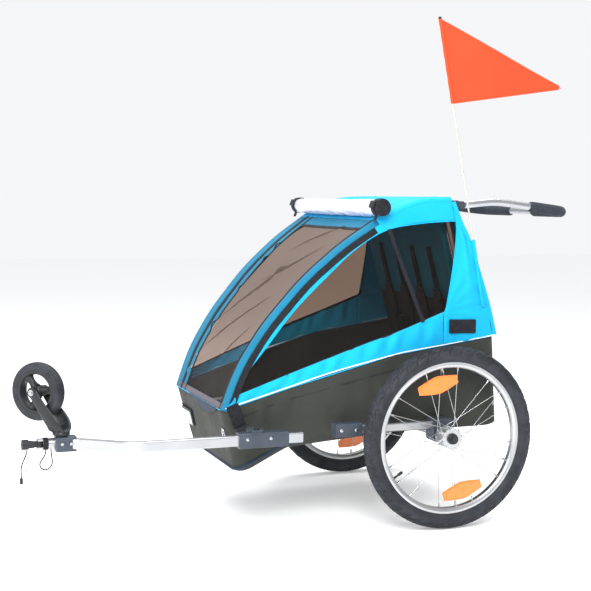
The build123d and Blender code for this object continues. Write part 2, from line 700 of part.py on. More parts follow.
# ---- hitch ---------------------------------------------------------------------------------------------
with BuildPart() as hitch_block:
    with BuildSketch(cross_plane(HITCH_BLOCK[0])):
        with Locations((HITCH_Y, ARM_Z)):
            Circle(HITCH_R + 1)
    extrude(amount=HITCH_BLOCK[1] - HITCH_BLOCK[0])
    for low in (ARM_Z - HITCH_R, ARM_Z + HITCH_R - 5):
        with BuildSketch(level(low)):
            with Locations((HITCH_YAW_X - 8, HITCH_Y)):
                Rectangle(16, 16)
            with Locations((HITCH_YAW_X, HITCH_Y)):
                Circle(8)
        extrude(amount=5)
    add(tube_between(spot(HITCH_YAW_X, HITCH_Y, ARM_Z - HITCH_R), spot(HITCH_YAW_X, HITCH_Y, ARM_Z + HITCH_R),
                     HITCH_PIN_R))
keep(hitch_block, "hitch_block")

with BuildPart() as hitch_knuckle:
    with BuildSketch(level(ARM_Z - HITCH_R + 5 + GAP)):
        with Locations((HITCH_YAW_X, HITCH_Y)):
            Circle(8)
        with Locations((HITCH_YAW_X + 7, HITCH_Y)):
            Rectangle(14, 9)
    extrude(amount=2 * (HITCH_R - 5 - GAP))
    with BuildSketch(side_plane(HITCH_Y - 4.5)):
        with Locations((HITCH_PITCH_X - 4, ARM_Z)):
            Rectangle(8, 15)
        with Locations((HITCH_PITCH_X, ARM_Z)):
            Circle(7.5)
    extrude(amount=-9)
    with BuildSketch(level(ARM_Z - HITCH_R)):
        with Locations((HITCH_YAW_X, HITCH_Y)):
            Circle(HITCH_PIN_R + FIT)
    extrude(amount=2 * HITCH_R, mode=Mode.SUBTRACT)
    with BuildSketch(side_plane(HITCH_Y - 10)):
        with Locations((HITCH_PITCH_X, ARM_Z)):
            Circle(HITCH_PIN_R + FIT)
    extrude(amount=-20, mode=Mode.SUBTRACT)
keep(hitch_knuckle, "hitch_knuckle")

with BuildPart() as hitch_head:
    with BuildSketch(cross_plane(HITCH_PITCH_X + 9)):
        with Locations((HITCH_Y, ARM_Z)):
            Circle(HITCH_R)
            Circle(SOCKET_R, mode=Mode.SUBTRACT)
    extrude(amount=HITCH_NOSE_X - HITCH_PITCH_X - 9)
    with BuildSketch(cross_plane(HITCH_PITCH_X + 9)):
        with Locations((HITCH_Y, ARM_Z)):
            Circle(HITCH_R)
    extrude(amount=1)
    for side in SIDES.values():
        with BuildSketch(side_plane(HITCH_Y + side * (4.5 + GAP))):
            with Locations((HITCH_PITCH_X + 5, ARM_Z)):
                Rectangle(10, 16)
            with Locations((HITCH_PITCH_X, ARM_Z)):
                Circle(8)
        extrude(amount=-side * 5)
    add(tube_between(spot(HITCH_PITCH_X, HITCH_Y - 9, ARM_Z), spot(HITCH_PITCH_X, HITCH_Y + 9, ARM_Z),
                     HITCH_PIN_R))
    with BuildSketch(level(ARM_Z - HITCH_R - 5)):
        with Locations((HITCH_NOSE_X - 8, HITCH_Y)):
            Circle(CROSS_PIN_R)
    extrude(amount=2 * HITCH_R + 10, mode=Mode.SUBTRACT)
keep(hitch_head, "hitch_head")


def free_cord(points, label):
    """A limp cord's tube: straight runs joined by the largest tangent arcs that the runs allow."""
    at = [Vector(*spot(*p)) for p in points]
    runs = [b - a for a, b in zip(at, at[1:])]
    radii = []
    for before, after in zip(runs, runs[1:]):
        half_turn = math.radians(before.get_angle(after)) / 2
        radii.append(0.45 * min(before.length, after.length) / math.tan(half_turn))
    with BuildPart() as cord:
        with BuildLine() as route:
            FilletPolyline(*at, radius=radii)
        with BuildSketch(Plane(origin=at[0], z_dir=runs[0])):
            Circle(CORD_D / 2)
        sweep()
    length = route.wire().length
    ideal = length * math.pi * CORD_D**2 / 4
    print(label, "length", round(length, 1), "volume ratio", round(cord.part.volume / ideal, 4))
    print(label, "radii", [round(r, 1) for r in radii])
    keep(cord, label)


hitch_low = ARM_Z - HITCH_R - 1 - GAP
SAFETY_LOOP = [
    (1051, 206, hitch_low), (1052, 206, 239), (1059, 205, 227), (1067, 203, 215), (1064, 200, 202),
    (1052, 199, 195.5), (1040, 200, 201), (1034.5, 203, 213), (1036, 205.5, 227), (1038.2, 206, 239),
    (1038.5, 206, hitch_low),
]
STRAP_TAIL = [
    (1098, 206, ARM_Z - HITCH_R - GAP), (1100, 206, 240), (1105, 205.5, 229), (1110, 204, 217),
    (1113, 203, 204), (1113, 203.5, 191), (1112.5, 204, 180),
]
free_cord(SAFETY_LOOP, "safety_loop")
free_cord(STRAP_TAIL, "strap_tail")

with BuildPart() as strap_clip:
    with BuildSketch(level(165)):
        with Locations((STRAP_TAIL[-1][0], STRAP_TAIL[-1][1])):
            RectangleRounded(8, 6, 2)
    extrude(amount=STRAP_TAIL[-1][2] - GAP - 165)
keep(strap_clip, "strap_clip")

# ---- canopy bows and fabric ----------------------------------------------------------------------------
for label, side in SIDES.items():
    corners = [spot(x, side * (cabin_half(x) - BOW_INSET), z) for x, z in BOW_CORNERS]
    first = Vector(*corners[0]) - Vector(*corners[1])
    foot = Vector(*corners[0]) + first.normalized() * 12
    with BuildPart() as bow:
        with BuildLine():
            FilletPolyline(foot, *corners[1:], radius=BOW_RADII)
        with BuildSketch(Plane(origin=foot, z_dir=first * -1)):
            Circle(TUBE_R)
        sweep()
        with BuildSketch(side_plane(side * (bow_y - 20))):
            with Locations((BOW_PIVOT[0] - 4, BOW_PIVOT[1])):
                Circle(PIVOT_R + FIT)
        extrude(amount=-side * 50, mode=Mode.SUBTRACT)
    keep(bow, f"{label}_bow")

with BuildPart() as roof_bar:
    bar_z = on_line(BOW_CORNERS[4], BOW_CORNERS[5], ROOF_BAR_X)
    with BuildSketch(side_plane()):
        with Locations((ROOF_BAR_X, bar_z)):
            Circle(TUBE_R - 2)
    extrude(amount=cabin_half(ROOF_BAR_X + TUBE_R) - BOW_INSET - TUBE_R - GAP, both=True)
keep(roof_bar, "roof_crossbar")

skin_mid = TUBE_R + 0.4 + SKIN / 2
skin_corners = parallel(BOW_CORNERS, -skin_mid)
skin_radii = [r + skin_mid for r in BOW_RADII]
EDGE = SKIN + 0.4


def skin_band(x_from, x_to):
    """The fabric over the bows, between two stations along the trailer."""
    with BuildPart() as band:
        with BuildSketch(side_plane()):
            with BuildLine():
                FilletPolyline(*skin_corners, radius=skin_radii)
            trace(line_width=SKIN)
        extrude(amount=CABIN_HALF + 10, both=True)
        with BuildSketch(level(0)):
            with BuildLine():
                Polyline(*plan_outline(x_from, x_to, EDGE), close=True)
            make_face()
        extrude(amount=1000, mode=Mode.INTERSECT)
    return band


keep(skin_band(ROOF_FRONT + GAP, NOSE_X + 10), "front_mesh")
keep(skin_band(BOW_CORNERS[-1][0] - 4, ROOF_FRONT), "roof_panel")

outer_corners = parallel(BOW_CORNERS, -(TUBE_R + 0.4 + SKIN))
outer_radii = [r + TUBE_R + 0.4 + SKIN for r in BOW_RADII]
RIM_GAP = 1.0              # from the tub's rim up to the side panels
for label, side in SIDES.items():
    with BuildPart() as side_panel:
        with BuildSketch(side_plane()):
            with BuildLine():
                top = FilletPolyline(*outer_corners, radius=outer_radii)
                rim = [(x, z + RIM_GAP) for x, z, _, _ in reversed(TUB_STATIONS)]
                Polyline(top @ 1, *reversed(rim), top @ 0)
            make_face()
        extrude(amount=CABIN_HALF + 10, both=True)
        with BuildSketch(level(0)):
            with BuildLine():
                stations = (TUB_REAR_TOP[0] - 10, TAPER_X, NOSE_X + 10)
                outer = [(x, side * cabin_half(x)) for x in stations]
                inner = [(x, side * (cabin_half(x) - SKIN)) for x in reversed(stations)]
                Polyline(*outer, *inner, close=True)
            make_face()
        extrude(amount=1000, mode=Mode.INTERSECT)
    keep(side_panel, f"{label}_side_panel")

COVER_STRAP_T = 2.0
roof_slope = math.atan2(BOW_CORNERS[5][1] - BOW_CORNERS[4][1], BOW_CORNERS[4][0] - BOW_CORNERS[5][0])
roll_clear = TUBE_R + 0.4 + SKIN + GAP + COVER_STRAP_T + GAP + ROLL_R
ROLL_AT = (ROLL_X, on_line(BOW_CORNERS[4], BOW_CORNERS[5], ROLL_X) + roll_clear / math.cos(roof_slope))
with BuildPart() as rolled_cover:
    with BuildSketch(side_plane()):
        with Locations(ROLL_AT):
            Circle(ROLL_R)
    extrude(amount=ROLL_HALF, both=True)
    fillet(rolled_cover.edges(), 5)
keep(rolled_cover, "rolled_cover")

with BuildPart() as cover_straps:
    for side in SIDES.values():
        with BuildSketch(side_plane(side * 296)):
            with Locations(ROLL_AT):
                Circle(ROLL_R + GAP + COVER_STRAP_T)
                Circle(ROLL_R + GAP, mode=Mode.SUBTRACT)
        extrude(amount=-side * 22)
keep(cover_straps, "cover_straps")

# ---- rear hoop, seat back and push bar -----------------------------------------------------------------
hoop_plane = Plane(
    origin=spot(HOOP_PIVOT[0], 0, HOOP_PIVOT[1]),
    x_dir=(0, 1, 0),
    z_dir=(math.cos(math.radians(HOOP_LEAN)), 0, -math.sin(math.radians(HOOP_LEAN))),
)
HOOP_FOOT = -7.0


def hoop_tube(radius):
    """The hoop: two legs and a crossbar, rounded where they meet."""
    with BuildPart() as tube:
        with BuildLine(hoop_plane):
            FilletPolyline(
                (HOOP_HALF, HOOP_FOOT), (HOOP_HALF, HOOP_LENGTH), (-HOOP_HALF, HOOP_LENGTH),
                (-HOOP_HALF, HOOP_FOOT), radius=HOOP_CORNER,
            )
        foot_x, foot_z = along_hoop(HOOP_FOOT)
        with BuildSketch(Plane(origin=spot(foot_x, HOOP_HALF, foot_z), z_dir=hoop_plane.y_dir)):
            Circle(radius)
        sweep()
    return tube.part


hoop_solid = hoop_tube(TUBE_R)
with BuildPart() as rear_hoop:
    add(hoop_solid)
    with BuildSketch(side_plane()):
        with Locations(HOOP_PIVOT):
            Circle(PIVOT_R + FIT)
    extrude(amount=CABIN_HALF, both=True, mode=Mode.SUBTRACT)
keep(rear_hoop, "rear_hoop")
hoop_envelope = hoop_tube(TUBE_R + FIT)

MOUNT = (-64.0, -20.0)
MOUNT_Z = (847.0, 884.0)
mount_out = CABIN_HALF - BOW_INSET - TUBE_R - 0.4
with BuildPart() as handlebar_mounts:
    for side in SIDES.values():
        middle_y = side * (mount_out + 234.4) / 2
        with BuildSketch(level(MOUNT_Z[0])):
            with Locations(((MOUNT[0] + MOUNT[1]) / 2, middle_y)):
                RectangleRounded(MOUNT[1] - MOUNT[0], mount_out - 234.4, 5)
        extrude(amount=MOUNT_Z[1] - MOUNT_Z[0])
        for ear_y in (HANDLE_HALF - TUBE_R - 5.6, HANDLE_HALF + TUBE_R + 0.6):
            with BuildSketch(side_plane(side * ear_y)):
                with Locations(HANDLE_PIVOT):
                    Circle(11)
                with Locations(((HANDLE_PIVOT[0] + MOUNT[0] + 10) / 2, HANDLE_PIVOT[1])):
                    Rectangle(MOUNT[0] + 10 - HANDLE_PIVOT[0], 22)
            extrude(amount=-side * 5)
        pin = HANDLE_HALF - TUBE_R - 3, HANDLE_HALF + TUBE_R + 3
        add(tube_between(spot(HANDLE_PIVOT[0], side * pin[0], HANDLE_PIVOT[1]),
                         spot(HANDLE_PIVOT[0], side * pin[1], HANDLE_PIVOT[1]), PIVOT_R))
    add(hoop_envelope, mode=Mode.SUBTRACT)
keep(handlebar_mounts, "handlebar_mounts")

with BuildPart() as handlebar:
    ends = [spot(HANDLE_PIVOT[0], HANDLE_HALF, HANDLE_PIVOT[1]), spot(HANDLE_BEND[0], HANDLE_HALF, HANDLE_BEND[1])]
    reach_out = Vector(*ends[0]) - Vector(*ends[1])
    tip = Vector(*ends[0]) + reach_out.normalized() * 9
    half_bar = [tip, Vector(*ends[1]), Vector(*spot(HANDLE_END[0], HANDLE_HALF, HANDLE_END[1]))]
    other = [Vector(v.X, -v.Y, v.Z) for v in reversed(half_bar)]
    with BuildLine():
        FilletPolyline(*half_bar, *other, radius=[300, HANDLE_CORNER, HANDLE_CORNER, 300])
    with BuildSketch(Plane(origin=tip, z_dir=reach_out * -1)):
        Circle(TUBE_R)
    sweep()
    with BuildSketch(side_plane()):
        with Locations(HANDLE_PIVOT):
            Circle(PIVOT_R + FIT)
    extrude(amount=CABIN_HALF, both=True, mode=Mode.SUBTRACT)
keep(handlebar, "handlebar")

with BuildPart() as handlebar_grips:
    grip_z = on_line(HANDLE_BEND, HANDLE_END, GRIP_FROM)
    for side in SIDES.values():
        points = [
            spot(GRIP_FROM, side * HANDLE_HALF, grip_z),
            spot(HANDLE_END[0], side * HANDLE_HALF, HANDLE_END[1]),
            spot(HANDLE_END[0], side * GRIP_MIDDLE, HANDLE_END[1]),
        ]
        with BuildLine():
            FilletPolyline(*points, radius=HANDLE_CORNER)
        with BuildSketch(Plane(origin=points[0], z_dir=Vector(*points[1]) - Vector(*points[0]))):
            Circle(GRIP_R)
            Circle(TUBE_R + FIT, mode=Mode.SUBTRACT)
        sweep()
keep(handlebar_grips, "handlebar_grips")

PANEL = (205.0, 542.0)     # the rear panel, along the hoop's legs
with BuildPart() as rear_panel:
    with BuildSketch(side_plane()):
        with BuildLine():
            back = TUBE_R + 0.4
            Polyline(
                along_hoop(PANEL[0], -back), along_hoop(PANEL[1], -back),
                along_hoop(PANEL[1], -back - SKIN), along_hoop(PANEL[0], -back - SKIN), close=True,
            )
        make_face()
    extrude(amount=CABIN_HALF - EDGE, both=True)
keep(rear_panel, "rear_panel")

with BuildPart() as seat_back:
    with BuildSketch(side_plane()):
        with BuildLine():
            front = TUBE_R + 0.4
            Polyline(
                along_hoop(BACK_FROM, front), along_hoop(BACK_TO, front),
                along_hoop(BACK_TO, front + BACK_T), along_hoop(BACK_FROM, front + BACK_T), close=True,
            )
        make_face()
    extrude(amount=HOOP_HALF, both=True)
keep(seat_back, "seat_back")

STRAP_W, STRAP_T = 30.0, 3.0
with BuildPart() as harnesses:
    for seat in (-110, 110):
        for shoulder in (-55, 55):
            with BuildSketch(side_plane(seat + shoulder - STRAP_W / 2)):
                with BuildLine():
                    front = TUBE_R + 0.4 + BACK_T + GAP
                    Polyline(
                        along_hoop(180, front), along_hoop(460, front),
                        along_hoop(460, front + STRAP_T), along_hoop(180, front + STRAP_T), close=True,
                    )
                make_face()
            extrude(amount=-STRAP_W)
keep(harnesses, "harness_straps")

# ---- flag ----------------------------------------------------------------------------------------------
pole_axis = (Vector(*spot(POLE_TOP[0], POLE_Y, POLE_TOP[1])) - Vector(*spot(POLE_FOOT[0], POLE_Y, POLE_FOOT[1])))
pole_up = pole_axis.normalized()


def on_pole(z):
    """The point of the pole's middle line at this height."""
    x = POLE_FOOT[0] + (z - POLE_FOOT[1]) * pole_up.X / pole_up.Z
    return Vector(*spot(x, POLE_Y, z))


def pole_plane(z):
    """A plane across the pole at this height."""
    return Plane(origin=on_pole(z), x_dir=(0, 1, 0), z_dir=pole_up)


with BuildPart() as flag_pole:
    with BuildSketch(pole_plane(POLE_FOOT[1])):
        Circle(POLE_R)
    extrude(amount=pole_axis.length)
keep(flag_pole, "flag_pole")

with BuildPart() as flag_sleeve:
    with BuildSketch(pole_plane(POLE_FOOT[1] - 6)):
        Circle(SLEEVE_R)
    extrude(amount=(SLEEVE_TOP_Z - POLE_FOOT[1] + 6) / pole_up.Z)
    with BuildSketch(pole_plane(POLE_FOOT[1] - GAP)):
        Circle(POLE_R + 2 * FIT)
    extrude(amount=(SLEEVE_TOP_Z - POLE_FOOT[1] + 20) / pole_up.Z, mode=Mode.SUBTRACT)
keep(flag_sleeve, "flag_sleeve")

with BuildPart() as pennant:
    with BuildSketch(side_plane(POLE_Y - 0.8)):
        with BuildLine():
            low, high = on_pole(PENNANT_LOW_Z), on_pole(POLE_TOP[1] - 2)
            Polyline((low.X - AXLE_X, low.Z), (high.X - AXLE_X, high.Z), PENNANT_TIP, close=True)
        make_face()
    extrude(amount=-1.6)
    with BuildSketch(pole_plane(PENNANT_LOW_Z)):
        Circle(POLE_R + 1.1)
    extrude(amount=(POLE_TOP[1] - 2 - PENNANT_LOW_Z) / pole_up.Z)
    with BuildSketch(pole_plane(PENNANT_LOW_Z - 30)):
        Circle(POLE_R + FIT)
    extrude(amount=300, mode=Mode.SUBTRACT)
keep(pennant, "pennant")
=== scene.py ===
"""Looks of the child bicycle trailer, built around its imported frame.

Lengths are in millimetres from the foot of the axle line until at() turns them into the frame's metres.
"""
import math
import bpy
from mathutils import Matrix, Vector, noise


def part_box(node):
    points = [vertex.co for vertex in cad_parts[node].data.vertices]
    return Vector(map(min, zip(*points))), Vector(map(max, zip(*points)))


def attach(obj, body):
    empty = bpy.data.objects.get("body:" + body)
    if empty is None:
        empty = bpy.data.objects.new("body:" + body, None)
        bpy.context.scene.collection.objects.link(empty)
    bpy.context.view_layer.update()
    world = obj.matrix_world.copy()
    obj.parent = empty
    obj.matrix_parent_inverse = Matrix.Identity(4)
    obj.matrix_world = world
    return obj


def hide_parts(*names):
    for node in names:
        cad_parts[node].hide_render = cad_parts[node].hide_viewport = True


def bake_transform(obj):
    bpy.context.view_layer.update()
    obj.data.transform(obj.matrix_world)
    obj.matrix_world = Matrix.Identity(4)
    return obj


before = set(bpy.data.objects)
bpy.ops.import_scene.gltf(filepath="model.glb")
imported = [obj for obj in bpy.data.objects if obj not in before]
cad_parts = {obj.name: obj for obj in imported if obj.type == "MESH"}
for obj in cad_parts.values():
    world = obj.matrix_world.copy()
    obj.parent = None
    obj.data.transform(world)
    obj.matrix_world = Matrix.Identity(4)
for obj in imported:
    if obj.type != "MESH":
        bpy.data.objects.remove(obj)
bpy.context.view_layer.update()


def middle(node):
    """The middle of a CAD node's box, in metres."""
    low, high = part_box(node)
    return (low + high) / 2


MM = 0.001
WHEEL = middle("left_tyre")
AXLE_X = WHEEL.x
TRACK = WHEEL.y / MM
AXLE_Z = WHEEL.z / MM
SIDES = {"left": 1, "right": -1}


def at(x, y, z):
    """A point given from the foot of the axle line."""
    return Vector((AXLE_X + x * MM, y * MM, z * MM))


# ---- camera, light and floor ---------------------------------------------------------------------------
def add_camera(place, yaw, pitch, roll, lens):
    """The view of the whole trailer from its front left. Angles are in degrees, the lens in mm."""
    yaw, pitch, roll = (math.radians(a) for a in (yaw, pitch, roll))
    ahead = Vector((math.cos(pitch) * math.cos(yaw), math.cos(pitch) * math.sin(yaw), math.sin(pitch)))
    right = Vector((math.sin(yaw), -math.cos(yaw), 0))
    up = right.cross(ahead)
    rolled = right * math.cos(roll) + up * math.sin(roll)
    above = up * math.cos(roll) - right * math.sin(roll)
    camera = bpy.data.objects.new("camera", bpy.data.cameras.new("camera"))
    camera.data.lens = lens
    camera.data.sensor_width = 36
    turn = Matrix((rolled, above, -ahead)).transposed().to_4x4()
    camera.matrix_world = Matrix.Translation(place) @ turn
    bpy.context.scene.collection.objects.link(camera)
    bpy.context.scene.camera = camera


def add_lamp(name, place, target, size, power, colour=(1, 1, 1)):
    """A soft square lamp that looks at a target."""
    lamp = bpy.data.objects.new(name, bpy.data.lights.new(name, "AREA"))
    lamp.data.shape = "SQUARE"
    lamp.data.size = size
    lamp.data.energy = power
    lamp.data.color = colour
    lamp.location = place
    lamp.rotation_euler = (Vector(target) - Vector(place)).to_track_quat("-Z", "Y").to_euler()
    bpy.context.scene.collection.objects.link(lamp)


# ---- lines ---------------------------------------------------------------------------------------------
def resample(line, count):
    """Points evenly spaced along a line."""
    steps = [0.0]
    for a, b in zip(line, line[1:]):
        steps.append(steps[-1] + (b - a).length)
    points, k = [], 0
    for i in range(count):
        s = steps[-1] * i / (count - 1)
        while k < len(line) - 2 and steps[k + 1] < s:
            k += 1
        span = steps[k + 1] - steps[k]
        points.append(line[k].lerp(line[k + 1], (s - steps[k]) / span if span else 0.0))
    return points


def through(points, count):
    """A smooth line through a few points."""
    p = [Vector(q) for q in points]
    p = [2 * p[0] - p[1]] + p + [2 * p[-1] - p[-2]]
    fine = []
    for a, b, c, d in zip(p, p[1:], p[2:], p[3:]):
        for i in range(12):
            t = i / 12
            curve = 2 * b + (c - a) * t + (2 * a - 5 * b + 4 * c - d) * t * t
            fine.append(0.5 * (curve + (3 * b - a - 3 * c + d) * t**3))
    fine.append(p[-2])
    return resample(fine, count)


def rounded(corners, radii, count):
    """A line through corners that are rounded by arcs of these radii."""
    points = [Vector(c) for c in corners]
    line = [points[0]]
    for b, c, a, radius in zip(points, points[1:], points[2:], radii):
        u, w = (b - c).normalized(), (a - c).normalized()
        half = u.angle(w) / 2
        centre = c + (u + w).normalized() * radius / math.sin(half)
        start, end = c + u * radius / math.tan(half), c + w * radius / math.tan(half)
        for i in range(9):
            line.append(centre + (start.lerp(end, i / 8) - centre).normalized() * radius)
    line.append(points[-1])
    return resample(line, count)


def directions(line):
    """The unit direction at each point of a line."""
    last = len(line) - 1
    return [(line[min(i + 1, last)] - line[max(i - 1, 0)]).normalized() for i in range(last + 1)]


def beside(line, distance):
    """A flat line's points moved to its right."""
    return [p + Vector((t.y, -t.x)) * distance for p, t in zip(line, directions(line))]


def share(value, low, high):
    """How far a value is from low to high, eased at both ends."""
    t = min(1.0, max(0.0, (value - low) / (high - low)))
    return t * t * (3 - 2 * t)


def waves(*where):
    """Smooth noise from -1 to 1 at a point."""
    return noise.noise(Vector(where))


def angles(count):
    """Even steps round a circle."""
    return [2 * math.pi * k / count for k in range(count)]


def grid(tall, wide, point):
    """Rows of points from a function of two shares, each 0 to 1: along the rows' order, along a row."""
    return [[point(i / tall, j / wide) for j in range(wide + 1)] for i in range(tall + 1)]


# ---- meshes --------------------------------------------------------------------------------------------
def oval_section(width, height, sides=12):
    """An ellipse as (across, out) pairs, from half its width and half its height."""
    return [(width * math.cos(a), height * math.sin(a)) for a in angles(sides)]


def strap_section(width, thick):
    """A flat strap's section with eased edges."""
    w, h = width / 2, thick / 2
    e = min(h, w / 2)
    return [(-w, 0), (-w + e, h), (0, h), (w - e, h), (w, 0), (w - e, -h), (0, -h), (-w + e, -h)]


def cross_axes(path, normals=None):
    """Two unit vectors across a path at each point, from the normals given or turned as little as can be."""
    axes, out = [], None
    for i, along in enumerate(directions(path)):
        if normals:
            out = normals[i]
        elif out is None:
            out = Vector((0, 0, 1)) if abs(along.z) < 0.9 else Vector((0, 1, 0))
        out = (out - along * out.dot(along)).normalized()
        axes.append((along.cross(out), out))
    return axes


class Mesh:
    """Collects the faces of one piece. Its sizes are in metres."""

    def __init__(self):
        self.verts, self.faces = [], []

    def skin(self, rows, around=False, ring=False, caps=False):
        """Quads between rows of points. around closes each row, ring joins the last row to the first."""
        start, wide = len(self.verts), len(rows[0])
        for row in rows:
            self.verts += row
        tall = len(rows)
        for i in range(tall if ring else tall - 1):
            for j in range(wide if around else wide - 1):
                a, b = start + i * wide, start + (i + 1) % tall * wide
                k = (j + 1) % wide
                self.faces.append((a + j, a + k, b + k, b + j))
        if caps:
            self.faces.append(tuple(start + j for j in reversed(range(wide))))
            self.faces.append(tuple(start + (tall - 1) * wide + j for j in range(wide)))
        return self

    def sweep(self, path, section, normals=None, size=None):
        """A section of (across, out) pairs in mm along a path. size(t) scales it along the way."""
        rows, last = [], len(path) - 1
        for i, (p, (across, out)) in enumerate(zip(path, cross_axes(path, normals))):
            k = MM * (size(i / last) if size else 1.0)
            rows.append([p + across * a * k + out * b * k for a, b in section])
        return self.skin(rows, around=True, caps=True)

    def tube(self, path, radius, sides=12, size=None):
        """A round bar along a path."""
        return self.sweep(path, oval_section(radius, radius, sides), size=size)

    def turn(self, profile, centre, axis, count=48, ring=False):
        """A shape turned about an axis from (along, radius) pairs in mm. ring closes the profile."""
        axis = Vector(axis).normalized()
        u = axis.orthogonal().normalized()
        w = axis.cross(u)
        rows = [[centre + (axis * along + (u * math.cos(a) + w * math.sin(a)) * radius) * MM
                 for a in angles(count)] for along, radius in profile]
        return self.skin(rows, around=True, ring=ring, caps=not ring)

    def plate(self, outline, origin, across, up, thick, ease=1.0):
        """A flat shape from (across, up) pairs in mm, thick along across x up, with eased edges."""
        across, up = Vector(across).normalized(), Vector(up).normalized()
        out = across.cross(up)
        centre = sum((Vector(p) for p in outline), Vector((0, 0))) / len(outline)
        reach = max((Vector(p) - centre).length for p in outline)
        rows = []
        for depth, inset in ((0, ease), (ease, 0), (thick - ease, 0), (thick, ease)):
            shrink = 1 - inset / reach
            flat = [centre + (Vector(p) - centre) * shrink for p in outline]
            rows.append([origin + (across * p.x + up * p.y + out * depth) * MM for p in flat])
        return self.skin(rows, around=True, caps=True)

    def piece(self, name, material, body, replaces=(), sharp=35, slot=None):
        """The finished object, riding on its body; the slot, its material's unless another is given, goes to
        declare(), which does not use it.
        """
        mesh = bpy.data.meshes.new(name)
        mesh.from_pydata(self.verts, [], self.faces)
        mesh.materials.append(material)
        mesh.shade_smooth()
        mesh.set_sharp_from_angle(angle=math.radians(sharp))
        made = bpy.data.objects.new(name, mesh)
        return declare(made, body, slot or SLOT_OF.get(material), *replaces)


def declare(made, body, slot, *replaces):
    """Links an object, hangs it on its body and hides the CAD nodes it stands in for; the slot is not used.
    """
    if made.name not in bpy.context.scene.collection.objects:
        bpy.context.scene.collection.objects.link(made)
    if body:
        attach(made, body)
    if replaces:
        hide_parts(*replaces)
    return made


def thicken(piece, thickness):
    """Gives a sheet its real thickness in mm."""
    solid = piece.modifiers.new("thickness", "SOLIDIFY")
    solid.thickness = thickness * MM
    solid.offset = 0
    return piece


def slotted(half_long, half_high, corner, steps=6):
    """A rectangle with round corners as (across, up) pairs."""
    points = []
    for cx, cy, start in ((1, 1, 0), (-1, 1, 90), (-1, -1, 180), (1, -1, 270)):
        for i in range(steps + 1):
            a = math.radians(start + 90 * i / steps)
            points.append((cx * (half_long - corner) + corner * math.cos(a),
                           cy * (half_high - corner) + corner * math.sin(a)))
    return points


# ---- materials -----------------------------------------------------------------------------------------
class Shader:
    """A Principled material and the nodes that vary it. Coordinates are the frame's metres."""

    def __init__(self, name, colour, rough, **sockets):
        self.material = bpy.data.materials.new(name)
        self.material.use_nodes = True
        self.tree = self.material.node_tree
        self.main = self.tree.nodes["Principled BSDF"]
        self.main.inputs["Base Color"].default_value = (*colour, 1)
        self.main.inputs["Roughness"].default_value = rough
        for socket, value in sockets.items():
            self.main.inputs[socket.replace("_", " ")].default_value = value
        self.colour, self.rough = colour, rough
        self.place = self.add("ShaderNodeTexCoord").outputs["Object"]
        self.normal = None

    def add(self, kind, **settings):
        made = self.tree.nodes.new(kind)
        for key, value in settings.items():
            setattr(made, key, value)
        return made

    def join(self, source, target):
        self.tree.links.new(source, target)

    def speckle(self, scale, detail=3.0, stretch=(1, 1, 1)):
        """Noise, 0 to 1, at a scale per metre."""
        mapping = self.add("ShaderNodeMapping")
        mapping.inputs["Scale"].default_value = stretch
        self.join(self.place, mapping.inputs["Vector"])
        made = self.add("ShaderNodeTexNoise")
        made.inputs["Scale"].default_value = scale
        made.inputs["Detail"].default_value = detail
        self.join(mapping.outputs["Vector"], made.inputs["Vector"])
        return made.outputs["Fac"]

    def bands(self, pitch, direction, profile="SIN"):
        """Even bands across one axis, a pitch in mm apart."""
        made = self.add("ShaderNodeTexWave", bands_direction=direction, wave_profile=profile)
        made.inputs["Scale"].default_value = math.pi / 10 / (pitch * MM)
        self.join(self.place, made.inputs["Vector"])
        return made.outputs["Fac"]

    def maths(self, operation, a, b):
        made = self.add("ShaderNodeMath", operation=operation)
        for socket, value in zip(made.inputs, (a, b)):
            if isinstance(value, (int, float)):
                socket.default_value = value
            else:
                self.join(value, socket)
        return made.outputs[0]

    def stretch_to(self, source, low, high, from_low=0.3, from_high=0.7):
        made = self.add("ShaderNodeMapRange")
        limits = (("From Min", from_low), ("From Max", from_high), ("To Min", low), ("To Max", high))
        for key, value in limits:
            made.inputs[key].default_value = value
        self.join(source, made.inputs["Value"])
        return made.outputs["Result"]

    def tint(self, source, other, strength=1.0):
        """Mixes another colour into the base colour where source is high."""
        made = self.add("ShaderNodeMix", data_type="RGBA")
        made.inputs["A"].default_value = (*self.colour, 1)
        made.inputs["B"].default_value = (*other, 1)
        self.join(self.stretch_to(source, 0.0, strength), made.inputs["Factor"])
        before = self.main.inputs["Base Color"]
        if before.is_linked:
            self.join(before.links[0].from_socket, made.inputs["A"])
        self.join(made.outputs["Result"], before)
        return self

    def vary_rough(self, source, spread):
        low, high = max(0.02, self.rough - spread), min(1.0, self.rough + spread)
        self.join(self.stretch_to(source, low, high), self.main.inputs["Roughness"])
        return self

    def bump(self, height, distance, strength=0.6):
        """Raises the surface by height, 0 to 1, times a distance in mm."""
        made = self.add("ShaderNodeBump")
        made.inputs["Strength"].default_value = strength
        made.inputs["Distance"].default_value = distance * MM
        self.join(height, made.inputs["Height"])
        if self.normal:
            self.join(self.normal, made.inputs["Normal"])
        self.normal = made.outputs["Normal"]
        self.join(self.normal, self.main.inputs["Normal"])
        return self


def woven(name, colour, rough=0.75, thread=0.9, sheen=0.04, crease=0.5, fleck=0.82):
    """Coated woven cloth: threads both ways, small creases and a little unevenness of colour."""
    s = Shader(name, colour, rough, Sheen_Weight=sheen, Sheen_Roughness=0.5, Specular_IOR_Level=0.2)
    across = s.maths("MULTIPLY", s.bands(thread, "X"), s.bands(thread, "Z"))
    s.tint(s.speckle(9, 4), tuple(c * fleck for c in colour))
    s.tint(s.speckle(900, 1), tuple(min(1, c * 1.12 + 0.004) for c in colour), 0.6)
    s.vary_rough(s.speckle(35), 0.08)
    s.bump(s.speckle(28, 4), 2.0, crease)
    s.bump(across, 0.18, 0.5)
    return s.material


